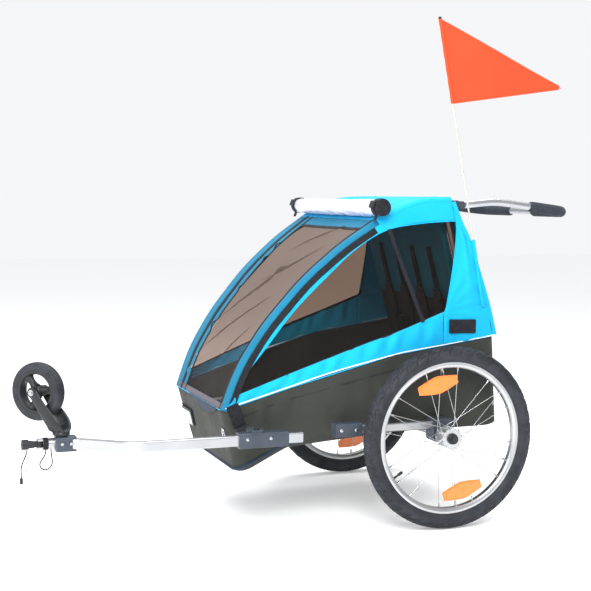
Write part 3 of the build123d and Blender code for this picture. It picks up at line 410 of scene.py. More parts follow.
def webbing(name, colour, rough=0.7):
    """Narrow woven strap with raised ribs."""
    s = Shader(name, colour, rough, Sheen_Weight=0.03, Specular_IOR_Level=0.12)
    ribs = s.maths("MAXIMUM", s.bands(1.6, "X"), s.bands(1.6, "Z"))
    s.tint(s.speckle(160), tuple(min(1, c * 1.9 + 0.01) for c in colour), 0.7)
    s.vary_rough(s.speckle(60), 0.1)
    s.bump(ribs, 0.3)
    return s.material


def metal(name, colour, rough, grain=(1, 1, 1), scratch=0.08):
    """Satin or polished metal with faint handling marks."""
    s = Shader(name, colour, rough, Metallic=1.0)
    s.tint(s.speckle(14, 5), tuple(c * 0.86 for c in colour))
    s.vary_rough(s.speckle(420, 2, grain), scratch)
    s.bump(s.speckle(700, 2, grain), 0.03, 0.3)
    return s.material


def moulded(name, colour, rough=0.42, grain=0.12):
    """Moulded plastic with a fine grain, a little paler where it is rubbed."""
    s = Shader(name, colour, rough, Specular_IOR_Level=0.3)
    s.tint(s.speckle(26, 5), tuple(min(1, c * 1.35 + 0.006) for c in colour), 0.8)
    s.vary_rough(s.speckle(70), 0.09)
    s.bump(s.speckle(1300, 1), grain)
    return s.material


def rubber(name, colour):
    """Tyre rubber: dusty in places, with a fine dull grain."""
    s = Shader(name, colour, 0.58, Specular_IOR_Level=0.2)
    s.tint(s.speckle(30, 6), tuple(min(1, c * 1.8 + 0.008) for c in colour), 0.8)
    s.vary_rough(s.speckle(55), 0.12)
    s.bump(s.speckle(950, 2), 0.12)
    return s.material


def foam(name, colour):
    """Closed-cell foam with small pores."""
    s = Shader(name, colour, 0.88, Sheen_Weight=0.05, Specular_IOR_Level=0.2)
    s.tint(s.speckle(220, 3), tuple(min(1, c * 1.7) for c in colour), 0.8)
    s.vary_rough(s.speckle(90), 0.06)
    s.bump(s.speckle(600, 3), 0.4)
    return s.material


def prism(name, colour, glow, pitch=3.2):
    """A reflector's lens: rows of small prisms under clear plastic."""
    s = Shader(name, colour, 0.18, Coat_Weight=1.0, Coat_Roughness=0.04, Emission_Strength=glow)
    s.main.inputs["Emission Color"].default_value = (*colour, 1)
    cells = s.maths("MULTIPLY", s.bands(pitch, "X", "TRI"), s.bands(pitch, "Z", "TRI"))
    s.tint(cells, tuple(c * 0.55 for c in colour), 0.7)
    s.vary_rough(s.speckle(80), 0.06)
    s.bump(cells, 0.9, 0.8)
    return s.material


def see_through(name, surface, passes, cover, rough, weave=0.0, crease=0.5):
    """A tinted film or an open mesh: cover is the share that is solid, passes tints what shows behind it."""
    s = Shader(name, surface, rough)
    s.tint(s.speckle(12, 4), tuple(c * 0.6 for c in surface))
    s.vary_rough(s.speckle(22), 0.06)
    s.bump(s.speckle(17, 3, (1, 1, 0.6)), 3.0, crease)
    if weave:
        s.bump(s.maths("MULTIPLY", s.bands(weave, "X"), s.bands(weave, "Z")), 0.3)
    clear = s.add("ShaderNodeBsdfTransparent")
    clear.inputs["Color"].default_value = (*passes, 1)
    mix = s.add("ShaderNodeMixShader")
    mix.inputs["Fac"].default_value = cover
    s.join(clear.outputs[0], mix.inputs[1])
    s.join(s.main.outputs[0], mix.inputs[2])
    s.join(mix.outputs[0], s.tree.nodes["Material Output"].inputs["Surface"])
    return s.material


def rolled_film(name, colour, edge):
    """Clear film rolled up: pale, glossy, tinted where its turns lie close."""
    s = Shader(name, colour, 0.28, Coat_Weight=0.4, Subsurface_Weight=0.25)
    s.main.inputs["Subsurface Radius"].default_value = (0.01, 0.01, 0.014)
    s.tint(s.speckle(16, 4, (0.5, 0.12, 1.2)), edge, 0.85)
    s.vary_rough(s.speckle(24), 0.12)
    s.bump(s.speckle(30, 4, (1, 0.25, 1)), 4.0, 0.7)
    return s.material


BLUE = woven("blue_cloth", (0.003, 0.38, 0.68), fleck=0.84)
# Painted shade: a darker copy of the blue cloth, put where that cloth lies in shade (the front part of the
# edge rolls, the front cover's frame, the seat back's lining).
SHADED_BLUE = woven("blue_cloth_painted_shade", (0.006, 0.15, 0.26))
TUB_CLOTH = woven("tub_cloth", (0.034, 0.036, 0.031), sheen=0.04, crease=0.9)
NAVY = woven("navy_binding", (0.02, 0.034, 0.06), crease=0.3)
CHARCOAL = woven("charcoal_cloth", (0.022, 0.023, 0.027))
GREY = woven("grey_cloth", (0.11, 0.10, 0.115), crease=0.3)
SEAT = woven("seat_cloth", (0.028, 0.029, 0.034), thread=1.6, sheen=0.05)
PENNANT = woven("pennant_cloth", (0.86, 0.062, 0.018), rough=0.6, sheen=0.03, crease=0.25, fleck=0.9)
WEBBING = webbing("black_webbing", (0.010, 0.010, 0.012))
BINDING = webbing("black_binding", (0.008, 0.009, 0.012), 0.62)
PIPING = woven("reflective_piping", (0.72, 0.74, 0.76), rough=0.4, sheen=0.1, crease=0.1)
MESH = see_through("bug_mesh", (0.055, 0.046, 0.045), (0.93, 0.86, 0.83), 0.33, 0.8, weave=2.4, crease=0.7)
FILM = see_through("smoky_film", (0.035, 0.033, 0.033), (0.52, 0.42, 0.36), 0.12, 0.12)
ROLLED = rolled_film("rolled_film", (0.80, 0.79, 0.87), (0.42, 0.38, 0.74))
SATIN = metal("satin_aluminium", (0.44, 0.45, 0.46), 0.4, (0.1, 1, 1))
ARM_METAL = metal("silver_arm", (0.47, 0.48, 0.50), 0.38, (0.08, 1, 1))
RIM_METAL = metal("rim_alloy", (0.52, 0.53, 0.54), 0.34)
STEEL = metal("plated_steel", (0.46, 0.46, 0.47), 0.24)
SLATE = moulded("slate_plastic", (0.035, 0.045, 0.06))
BLACK = moulded("black_plastic", (0.012, 0.013, 0.015), 0.38)
TYRE = rubber("tyre_rubber", (0.016, 0.018, 0.022))
FOAM = foam("grip_foam", (0.022, 0.026, 0.034))
ORANGE = prism("orange_lens", (1.0, 0.21, 0.002), 0.0)
CLEAR_LENS = prism("clear_lens", (0.40, 0.42, 0.45), 0.0, 4.0)
POLE = moulded("fibre_pole", (0.42, 0.40, 0.36), 0.3, 0.05)

SLOTS = {
    "blue_fabric": [BLUE, SHADED_BLUE, PIPING], "tub_fabric": [TUB_CLOTH, NAVY, CHARCOAL],
    "mesh_fabric": [MESH, GREY], "seat_fabric": [SEAT], "pennant_fabric": [PENNANT],
    "black_webbing": [WEBBING, BINDING], "clear_cover": [FILM, ROLLED], "rim_alloy": [RIM_METAL],
    "axle_steel": [STEEL], "dark_plastic": [SLATE, BLACK], "tyre_rubber": [TYRE], "grip_foam": [FOAM],
    "orange_reflector": [ORANGE], "white_reflector": [CLEAR_LENS],
}
SLOT_OF = {material: slot for slot, materials in SLOTS.items() for material in materials}
CAD_LOOKS = {
    SATIN: ["base_frame", "seat_bars", "front_pivot_brackets", "rear_pivot_brackets", "left_bow", "right_bow",
            "roof_crossbar", "rear_hoop", "axle_beam", "left_side_rail", "right_side_rail"],
    ARM_METAL: ["tow_arm", "hitch_block", "handlebar"],
    RIM_METAL: ["left_hub", "right_hub"],
    STEEL: ["left_spokes", "right_spokes", "caster_axle"],
    SLATE: ["rail_brackets", "axle_receivers", "tow_arm_receiver", "caster_clamp", "handlebar_mounts"],
    BLACK: ["arm_release_button", "left_axle_button", "right_axle_button", "hitch_knuckle", "hitch_head",
            "strap_clip", "left_axle", "right_axle"],
    POLE: ["flag_pole"],
}


def dress_cad():
    """Gives the CAD nodes that stay visible their materials."""
    for material, nodes in CAD_LOOKS.items():
        for node in nodes:
            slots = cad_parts[node].data.materials
            slots.clear()
            slots.append(material)


# ---- wheels --------------------------------------------------------------------------------------------
TYRE_LOW, TYRE_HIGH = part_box("left_tyre")
TYRE_R = (TYRE_HIGH.z - TYRE_LOW.z) / 2 / MM
TYRE_HALF = (TYRE_HIGH.y - TYRE_LOW.y) / 2 / MM
RIM_LOW, RIM_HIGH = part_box("left_rim")
RIM_R = (RIM_HIGH.z - RIM_LOW.z) / 2 / MM
RIM_HALF = (RIM_HIGH.y - RIM_LOW.y) / 2 / MM
RIM_FLOOR = RIM_R - 19.5
TREAD_REPEATS = 44
TREAD_DEPTH = 3.4


def cut(distance, width):
    """1 within a groove of this half width, 0 outside it."""
    return 1 - share(distance, width * 0.4, width)


def wheel_middle(side):
    return Vector((AXLE_X, side * TRACK * MM, AXLE_Z * MM))


def tread(turn, across):
    """How deep the tread is cut, 0 to 1. turn counts repeats round the tyre, across runs from -1 to 1."""
    reach = abs(across)
    phase = (turn + (0.5 if across > 0 else 0.0) - 0.15 - 0.75 * reach) % 1
    slot = cut(min(phase, 1 - phase), 0.13) * share(reach, 0.12, 0.24)
    zigzag = abs(2 * (turn % 1) - 1) - 0.5
    centre = cut(abs(across - zigzag * 0.26), 0.08)
    shoulder = cut(abs(reach - 0.62 - zigzag * 0.2), 0.08)
    return max(slot, centre, 0.8 * shoulder)


def tyre(label, side):
    """A tyre with a cut tread, sidewall ribs and an inner face."""
    mid, wall_end, tread_end = TYRE_R - TYRE_HALF, math.radians(147), math.radians(88)
    steps, lane = TREAD_REPEATS * 14, 44
    centre = wheel_middle(side)
    rows = []
    for i, a in enumerate(angles(steps)):
        spoke = Vector((math.sin(a), 0, math.cos(a)))
        row = []
        for j in range(lane + 1):
            b = wall_end * (2 * j / lane - 1)
            radius = TYRE_HALF
            if abs(b) < tread_end:
                radius -= TREAD_DEPTH * tread(i / 14, b / tread_end) * (1 - share(abs(b), 1.2, tread_end))
            else:
                radius -= 0.5 + 0.35 * math.sin(b * 42)
            out = mid + radius * math.cos(b)
            row.append(centre + (spoke * out + Vector((0, radius * math.sin(b), 0))) * MM)
        for j in range(7):
            b = wall_end * (1 - 2 * j / 6)
            radius = TYRE_HALF - 4
            inner = spoke * (mid + radius * math.cos(b)) + Vector((0, radius * math.sin(b), 0))
            row.append(centre + inner * MM)
        rows.append(row)
    Mesh().skin(rows, around=True, ring=True).piece(
        f"{label}_tyre_tread", TYRE, f"{label}_wheel", [f"{label}_tyre"], 50)


def rim(label, side):
    """A box-section rim with a machined brake track, its valve and the spoke nipples."""
    centre = wheel_middle(side)
    half, body = RIM_HALF, f"{label}_wheel"
    outer = [(half - 0.3, RIM_R), (half, RIM_R - 0.8), (half, RIM_R - 3), (half - 0.5, RIM_R - 3.6),
             (half - 0.5, RIM_R - 10), (half, RIM_R - 10.6), (half - 1, RIM_R - 13.5), (half - 3, RIM_R - 17)]
    floor = [(half - 5, RIM_FLOOR + 0.8), (half - 7, RIM_FLOOR), (0, RIM_FLOOR - 0.2)]
    well = [(half - 6.5, RIM_R - 11.5), (half - 2.2, RIM_R - 6.5), (half - 2.2, RIM_R - 0.4),
            (half - 1.4, RIM_R)]
    right = outer + floor
    left = [(-a, r) for a, r in reversed(right[:-1])]
    bed = [(-a, r) for a, r in reversed(well)] + well
    Mesh().turn(right + left + bed, centre, (0, 1, 0), 160, ring=True).piece(
        f"{label}_rim_profile", RIM_METAL, body, [f"{label}_rim"], 30)
    nipples, pairs = Mesh(), 6
    for flange in (-1, 1):
        for i in range(pairs):
            for lean in (-1, 1):
                hub = 2 * math.pi * (i + (0.25 if flange > 0 else 0)) / pairs
                end = hub + lean * math.radians(52.5)
                rim_end = Vector((math.sin(end) * RIM_FLOOR, side * flange * 3, math.cos(end) * RIM_FLOOR))
                hub_end = Vector((math.sin(hub) * 26.5, side * flange * 20, math.cos(hub) * 26.5))
                inward = (hub_end - rim_end).normalized()
                nipples.turn([(-1, 3.0), (1.5, 3.0), (2.2, 2.2), (11, 1.9), (12, 1.3)],
                             centre + rim_end * MM, inward, 12)
    nipples.piece(f"{label}_spoke_nipples", STEEL, body)
    angle = math.radians(122)
    spoke = Vector((math.sin(angle), 0, math.cos(angle)))
    valve = [(0, 4.2), (1.5, 4.2), (2, 3), (16, 2.8), (16.5, 3.9), (27, 3.9), (29, 3), (29.6, 1.5)]
    Mesh().turn(valve, centre + spoke * RIM_FLOOR * MM, -spoke, 16).piece(
        f"{label}_valve", BLACK, body)


def wheel_reflectors(label, side):
    """Two lens-shaped reflectors clipped between the spokes, each with a raised middle and a clip."""
    turn, at_radius, half_long, half_high = math.radians(15), 150, 59, 24
    centre = wheel_middle(side)
    along = Vector((math.cos(turn), 0, -math.sin(turn))) * -side
    radial = Vector((math.sin(turn), 0, math.cos(turn)))

    def lens(scale):
        top = []
        for i in range(25):
            x = half_long * (1 - i / 12)
            top.append((x * scale, half_high * (1 - 0.54 * abs(x / half_long) ** 1.3) * scale))
        return top + [(-x, -y) for x, y in top]

    lenses, clips = Mesh(), Mesh()
    for up in (radial, -radial):
        across = along if up is radial else -along
        origin = centre + up * at_radius * MM + Vector((0, side * 5.8 * MM, 0))
        lenses.plate(lens(1), origin, across, up, 4.6, 1.2)
        lenses.plate(lens(0.86), origin + Vector((0, side * 4.6 * MM, 0)), across, up, 1.2, 0.8)
        clips.plate(slotted(11, 7, 3), origin - Vector((0, side * 2.5 * MM, 0)), across, up, 3, 0.6)
        clips.turn([(0, 5), (0.6, 5), (1.0, 3.6)], origin + Vector((0, side * 5.8 * MM, 0)), (0, side, 0), 20)
    lenses.piece(f"{label}_reflector_lenses", ORANGE, f"{label}_wheel",
                 [f"{label}_wheel_reflectors"])
    clips.piece(f"{label}_reflector_clips", ORANGE, f"{label}_wheel")


def hub_trim(label, side):
    """Spoke heads on the flanges and seals at the hub's ends."""
    centre = wheel_middle(side)
    heads = Mesh()
    for flange in (-1, 1):
        for i in range(12):
            a = 2 * math.pi * (i + (0.5 if flange > 0 else 0)) / 12
            for face in (-1, 1):
                spot = Vector((math.sin(a) * 26.5, side * (flange * 20 + face * 1.5), math.cos(a) * 26.5))
                heads.turn([(0, 2.0), (0.6, 1.9), (1.1, 1.0)], centre + spot * MM, (0, side * face, 0), 8)
    heads.piece(f"{label}_spoke_heads", STEEL, f"{label}_wheel")
    seals = Mesh()
    for out in (-31.5, 22.6):
        seals.turn([(0, 11), (0, 13.4), (0.6, 14), (1.2, 13.4), (1.2, 11)],
                   centre + Vector((0, side * out * MM, 0)), (0, side, 0), 40, ring=True)
    seals.piece(f"{label}_hub_seals", BLACK, f"{label}_wheel")


# ---- the cabin's lines ---------------------------------------------------------------------------------
CABIN_HALF, NOSE_HALF, NOSE_X, TAPER_X = 300.0, 240.0, 600.0, 140.0
ROUND = 12.4               # from a bow's middle line to the cloth's outer face
ROOF_END = 160             # the bow line's last station, at the rear of the roof
STATION = 5.5              # about how far apart its stations lie
BOW_LINE = rounded(
    [(587, 327), (548, 436), (480, 545), (375, 669), (270, 760), (140, 846), (60, 878), (-30, 881)],
    [500, 680, 700, 680, 350, 200], ROOF_END + 1)
SKIN_LINE = beside(BOW_LINE, ROUND)
ROOF_FRONT = 190.0
ROOF_I = min(range(ROOF_END + 1), key=lambda i: abs(SKIN_LINE[i].x - ROOF_FRONT))
TUB_TOP = [(-172, 513), (140, 468), (423, 386), (598, 330)]
TUB_LOW = [(-208, 263), (140, 260), (423, 230), (553, 165)]
WINDOW_TOP = through([(560, 374), (537, 425), (482, 497), (411, 590), (330, 674), (247, 752), (161, 804),
                      (60, 822), (-42, 829)], 120)
WINDOW_LOW = through([(563, 369), (397, 433), (232, 494), (110, 536), (-13, 582)], 120)
RIM_LINE = through([(590, 336), (423, 389), (298, 428), (140, 468), (79, 479), (-13, 491)], 120)
WINDOW_REAR = through([(-31, 880), (-42, 829), (-45, 795), (-39, 720), (-20, 600), (-13, 575),
                       (-13, 491)], 80)
REAR_EDGE = through([(-34, 880), (-60, 821), (-86, 770), (-143, 611), (-170, 513)], 80)


def cabin_half(x):
    """Half the width over the cloth at x, with its bend eased."""
    ease = 40.0
    past = x - TAPER_X
    run = max(0.0, past) if abs(past) > ease else (past + ease) ** 2 / (4 * ease)
    return CABIN_HALF - run * (CABIN_HALF - NOSE_HALF) / (NOSE_X - TAPER_X)


def on_side(p, side, out=0.0):
    """A point of a side panel."""
    return at(p.x, side * (cabin_half(p.x) + out), p.y)


def fold_with_canopy(piece):
    """Bakes the piece's world transform into its mesh and returns it."""
    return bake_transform(piece)


def declare_sheet(piece, rows):
    """Measures the longest row and the longest line across rows of points; nothing is kept, and the piece
    comes back unchanged.
    """
    length = max(sum((b - a).length for a, b in zip(row, row[1:])) for row in rows)
    width = max(sum((b - a).length for a, b in zip(line, line[1:])) for line in zip(*rows))
    for low, high in zip(rows, rows[1:]):
        for a, b, c, d in zip(low, low[1:], high, high[1:]):
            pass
    return piece


def side_patch(name, side, upper, lower, lanes, material, lift, thickness=1.0, replaces=()):
    """Cloth between two lines of a side panel. lift(p, u, v) is how far it stands out, in mm."""
    last = len(upper) - 1

    def point(v, u):
        i = round(u * last)
        p = upper[i].lerp(lower[i], v)
        return on_side(p, side, lift(p, u, v))

    rows = grid(lanes, last, point)
    made = Mesh().skin(rows).piece(name, material, None, replaces, 60)
    if thickness:
        thicken(made, thickness)
    fold_with_canopy(made)
    return declare_sheet(made, rows)


def side_seam(mesh, side, line, width, thick, out):
    """A strap or binding laid along a line of a side panel."""
    path = [on_side(p, side, out) for p in line]
    normals = [Vector((0.12, side, 0)).normalized()] * len(path)
    mesh.sweep(path, strap_section(width, thick), normals)


def side_canopy(label, side):
    """One side of the canopy: its bands, windows, bindings and label."""
    def soft(p, u, v):
        return 1.6 * waves(p.x / 90, p.y / 70, side) + 0.7 * waves(p.x / 24, p.y / 60, side + 4)

    def puckered(p, u, v):
        gather = math.sin(p.x / 9 + 2.5 * waves(p.x / 80, 0, side)) * (0.6 + waves(p.x / 55, 3, side))
        held = math.sin(math.pi * min(1, v * 1.15))
        return soft(p, u, v) + 6.0 * gather * held + 1.5 * math.sin(math.pi * v)

    def pulled(p, u, v):
        corner = Vector((-13, 582))
        ray = p - corner
        folds = math.sin(math.atan2(ray.y, ray.x) * 16) * math.exp(-ray.length / 140)
        long_fold = math.exp(-((v - 0.62) / 0.1) ** 2) * math.sin(math.pi * u)
        belly = 2.5 * math.sin(math.pi * v) * share(u, 0.1, 0.5)
        return soft(p, u, v) + 2.4 * folds + 3.5 * long_fold + belly

    def glassy(p, u, v):
        return -1.6 + 1.8 * math.sin(math.pi * v) * math.sin(math.pi * u) + 0.8 * waves(p.x / 60, p.y / 50, 9)

    bow = resample(BOW_LINE, 120)
    side_patch(f"{label}_arc_band", side, bow, WINDOW_TOP, 8, BLUE,
               lambda p, u, v: soft(p, u, v) * math.sin(math.pi * v / 2), replaces=[f"{label}_side_panel"])
    side_patch(f"{label}_lower_band", side, WINDOW_LOW, RIM_LINE, 14, BLUE, puckered)
    side_patch(f"{label}_rear_band", side, WINDOW_REAR, REAR_EDGE, 16, BLUE, pulled)
    top = [p.lerp(q, -0.02) for p, q in zip(WINDOW_TOP, WINDOW_LOW)]
    low = [p.lerp(q, 1.02) for p, q in zip(WINDOW_TOP, WINDOW_LOW)]
    top, low = top + [Vector((-54, 829))], low + [Vector((-24, 586))]
    side_patch(f"{label}_window", side, top, low, 16, FILM, glassy, 0)

    bindings, trims = Mesh(), Mesh()
    pillar = resample([Vector((155, 806)), Vector((112, 700)), Vector((50, 555))], 24)
    if side > 0:
        side_seam(bindings, side, pillar, 11, 2.0, 0.8)
    side_seam(bindings, side, WINDOW_LOW, 4.5, 1.2, -0.4)
    side_seam(trims, side, WINDOW_TOP, 3.0, 1.6, 0.6)
    side_seam(trims, side, resample(WINDOW_REAR[12:64], 50), 3.0, 1.6, 1.0)
    fold_with_canopy(bindings.piece(f"{label}_window_binding", BINDING, None))
    fold_with_canopy(trims.piece(f"{label}_window_seam", BLUE, None))

    edge, hem = Mesh(), Mesh()
    side_seam(hem, side, REAR_EDGE, 12, 3.0, 0.4)
    cord_line = Mesh()
    side_seam(cord_line, side, beside(REAR_EDGE, -5), 4.5, 3.0, -1.0)
    fold_with_canopy(cord_line.piece(f"{label}_rear_binding", BINDING, None))
    fold_with_canopy(hem.piece(f"{label}_rear_hem", BLUE, None))
    path = [on_side(p, side, 1.6) for p in RIM_LINE] + [on_side(p, side, 1.6) for p in resample(
        [Vector((-13, 491)), Vector((-90, 502)), Vector((-170, 514))], 30)[1:]]
    edge.tube(path, 1.9, 10)
    edge.piece(f"{label}_piping", PIPING, "chassis")

    patch = Mesh()
    along = Vector((-side, 0, -0.02 * side))
    place = at(-66, side * (CABIN_HALF + 6.2), 541)
    patch.plate(slotted(41, 19, 2.5), place, along, (0, 0, 1), 1.6, 0.5)
    fold_with_canopy(patch.piece(f"{label}_blank_label", BINDING, None))


def edge_y(i, inset=0.0):
    """Half the width of the roof and the front cover at a station of the bow line."""
    return cabin_half(BOW_LINE[i].x) - ROUND - inset


def over(i, y, lift=0.0):
    """A point of the roof or the front cover, this far above the skin line."""
    out = (SKIN_LINE[i] - BOW_LINE[i]).normalized()
    p = SKIN_LINE[i] + out * lift
    return at(p.x, y, p.y)


def edge_rolls():
    """The cloth that turns over the bows, from the side panels to the top."""
    for label, side in SIDES.items():
        # The front part of each edge roll is the same blue cloth as the roof part, given the darker copy as
        # painted shade.
        for part, first, last, material in (("front", 0, ROOF_I, SHADED_BLUE), ("roof", ROOF_I, ROOF_END, BLUE)):
            rows = []
            for i in range(first, last + 1):
                out = (SKIN_LINE[i] - BOW_LINE[i]).normalized()
                row = []
                for k in range(9):
                    a = math.radians(90 * k / 8)
                    p = BOW_LINE[i] + out * ROUND * math.sin(a)
                    ripple = 0.5 * waves(i / 3, k / 5, side) * math.sin(2 * a)
                    y = edge_y(i) + (ROUND + ripple) * math.cos(a)
                    row.append(at(p.x, side * y, p.y))
                rows.append(row)
            made = Mesh().skin(rows).piece(f"{label}_edge_{part}", material, None, sharp=60)
            fold_with_canopy(thicken(made, 1.0))


def strap_over(mesh, stations, inset, lift, width, thick):
    """A strap or binding along the roof or the front cover. inset and lift are functions of the station."""
    path = [over(i, inset(i), lift(i)) for i in stations]
    normals = [(over(i, 0, 1) - over(i, 0)).normalized() for i in stations]
    return mesh.sweep(path, strap_section(width, thick), normals)


def strip_over(name, first, last, inner, outer, lanes, material, lift, thickness=1.0, replaces=()):
    """Cloth over the bows from station first to last, between two y functions of the station."""
    rows = []
    for i in range(first, last + 1):
        across = [inner(i) + (outer(i) - inner(i)) * j / lanes for j in range(lanes + 1)]
        rows.append([over(i, y, lift(i, y)) for y in across])
    made = Mesh().skin(rows).piece(name, material, None, replaces, 60)
    if thickness:
        thicken(made, thickness)
    fold_with_canopy(made)
    if material is not BINDING:
        declare_sheet(made, rows)
    return made


CREASES = [((-150, 18), (150, 62), 11.0), ((-120, 42), (185, 96), 13.0), ((-60, 66), (175, 84), 9.0),
           ((-190, 8), (60, 30), 9.0), ((-40, 90), (150, 112), 9.0), ((60, 20), (170, 44), 10.0)]


def cover_lift(i, y):
    """The front cover's shape: drawn in a little between the bows, with slack folds across it."""
    wide = y / edge_y(i)
    lift = -7 * (1 - wide * wide) * math.sin(math.pi * min(1, i / ROOF_I))
    p = Vector((y, i * STATION))
    for (y0, i0), (y1, i1), height in CREASES:
        a, b = Vector((y0, i0 * STATION)), Vector((y1, i1 * STATION))
        t = min(1.0, max(0.0, (p - a).dot(b - a) / (b - a).length_squared))
        gap = (p - a.lerp(b, t)).length
        lift += height * math.exp(-((gap / 7) ** 2)) * math.sin(math.pi * (0.15 + 0.7 * t)) * (1 - wide**4)
    return lift + 1.2 * waves(y / 45, i / 9, 2) * (1 - wide * wide)


COVER = {"left": (0, 0, 11, 9), "right": (50, 17, 28, 10)}   # outer strip, zip, inner strip, binding


def front_cover():
    """The front: a mesh window in a frame of blue cloth darkened with painted shade, with its zips, bindings
    and grey lower edge.

    It hangs from the right a little slack, so its strips show wide there, and is pulled over the left bow,
    where its zip lies on the side.
    """
    top = ROOF_I - 7
    width = {label: sum(strips) for label, strips in COVER.items()}

    def flat(i, y):
        return cover_lift(i, y) * 0.5 + 0.5 * waves(y / 20, i / 6, 7)

    strip_over("front_mesh_window", 0, top, lambda i: -edge_y(i, width["right"] - 4),
               lambda i: edge_y(i, width["left"] - 4), 64,
               MESH, lambda i, y: cover_lift(i, y) - 0.8, 0, ["front_mesh"])
    for label, side in SIDES.items():
        outer, zip_w, inner, binding = COVER[label]

        def ripples(i, y):
            across = 2 * (edge_y(i) - abs(y)) / outer - 1
            return 1.8 * waves(i / 2.2, y / 30, 5) * (1 - across**2)

        # The edge and inner strips are the blue cloth's darker copy: painted shade.
        if outer:
            strip_over(f"{label}_cover_edge", 0, ROOF_I, lambda i: side * edge_y(i),
                       lambda i: side * edge_y(i, outer), 6, SHADED_BLUE, ripples)
        strip_over(f"{label}_cover_inner", 0, ROOF_I, lambda i: side * edge_y(i, outer + zip_w * 0.9),
                   lambda i: side * edge_y(i, outer + zip_w + inner), 4, SHADED_BLUE, cover_lift)
        lines = [(f"{label}_cover_line", outer + zip_w + inner + binding / 2, binding, 1.0)]
        if zip_w:
            lines.append((f"{label}_cover_zip", outer + zip_w / 2, zip_w, 1.4))
        for name, inset, wide, out in lines:
            line = strap_over(Mesh(), range(ROOF_I + 1), lambda i: side * edge_y(i, inset),
                              lambda i: cover_lift(i, edge_y(i, inset)) + out, wide, 2.0)
            fold_with_canopy(line.piece(name, BINDING, None))
    side_zip = Mesh()
    side_seam(side_zip, 1, beside(BOW_LINE, -8)[: ROOF_I - 2], 17, 2.2, 1.6)
    fold_with_canopy(side_zip.piece("left_cover_zip", BINDING, None))
    # The top band is the blue cloth's darker copy too: painted shade.
    strip_over("cover_top_band", top - 1, ROOF_I, lambda i: -edge_y(i, 40), lambda i: edge_y(i, 4),
               40, SHADED_BLUE, lambda i, y: cover_lift(i, y) + 0.4)
    strip_over("cover_top_line", top - 2, top, lambda i: -edge_y(i, width["right"]),
               lambda i: edge_y(i, width["left"]), 40, BINDING,
               lambda i, y: cover_lift(i, y) + 1.2)
    strip_over("cover_lower_band", 0, 3, lambda i: -edge_y(i, 30), lambda i: edge_y(i, 4), 48,
               GREY, lambda i, y: flat(i, y) + 1.2)


def roof():
    """The roof: taut over the crossbar and the rear corners, slack between, with seams and a rear lip."""
    def lift(i, y):
        t, wide = (i - ROOF_I) / (ROOF_END - ROOF_I), y / edge_y(i)
        sag = -5 * math.sin(math.pi * t) * (1 - wide * wide)
        return sag + 1.6 * waves(i / 7, y / 60, 1) * (1 - wide**4) * math.sin(math.pi * min(1, t + 0.1))

    strip_over("roof_cloth", ROOF_I, ROOF_END, lambda i: -edge_y(i), lambda i: edge_y(i), 60, BLUE,
               lift, replaces=["roof_panel"])
    seams = Mesh()
    for y in (-205, 205):
        strap_over(seams, range(ROOF_I, ROOF_END + 1), lambda i: y, lambda i: lift(i, y) + 0.7, 7, 1.4)
    fold_with_canopy(seams.piece("roof_seams", BLUE, None))
    lip = []
    end = SKIN_LINE[ROOF_END]
    for k in range(9):
        a = math.radians(90 * min(1, k / 5))
        drop = 34 * max(0, k - 5) / 3
        row = []
        for j in range(41):
            y = 226 * (j / 20 - 1)
            wave = 1.5 * waves(y / 40, k / 3, 6) * k / 8
            row.append(at(end.x - 2 - 13 * math.sin(a) - wave, y, end.y - 13 * (1 - math.cos(a)) - drop))
        lip.append(row)
    made = Mesh().skin(lip).piece("roof_rear_lip", BLUE, None, sharp=60)
    fold_with_canopy(thicken(made, 1.0))
    knob = Mesh().turn([(0, 7), (1.5, 7), (2, 4.5), (5, 4.5), (5.5, 7.5), (9, 7.5), (10.5, 5), (10.8, 2)],
                       over(ROOF_I + 14, -60, 0), (0.2, 0, 1), 24)
    knob.piece("roof_knob", BLACK, "canopy_frame")


# ---- the roll, the rear panel, the seat and the flag ---------------------------------------------------
ROLL_LOW, ROLL_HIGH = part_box("rolled_cover")
ROLL_AT = (ROLL_LOW + ROLL_HIGH) / 2
ROLL_R = (ROLL_HIGH.x - ROLL_LOW.x) / 2 / MM
ROLL_HALF = (ROLL_HIGH.y - ROLL_LOW.y) / 2 / MM


def roll_shape(y, a):
    """The roll's radius: squeezed at its straps, uneven and spiralled elsewhere."""
    near_strap = min(abs(abs(y) - 300), 60) / 60
    loose = 1.6 * waves(y / 50, math.cos(a) * 1.2, math.sin(a) * 1.2)
    loose += 1.0 * waves(y / 16, math.cos(a) * 2, math.sin(a) * 2)
    wrap = 1.2 * ((a / (2 * math.pi) + y / 900) % 1)
    return ROLL_R - 3.4 + (loose + wrap) * near_strap + 1.6 * near_strap


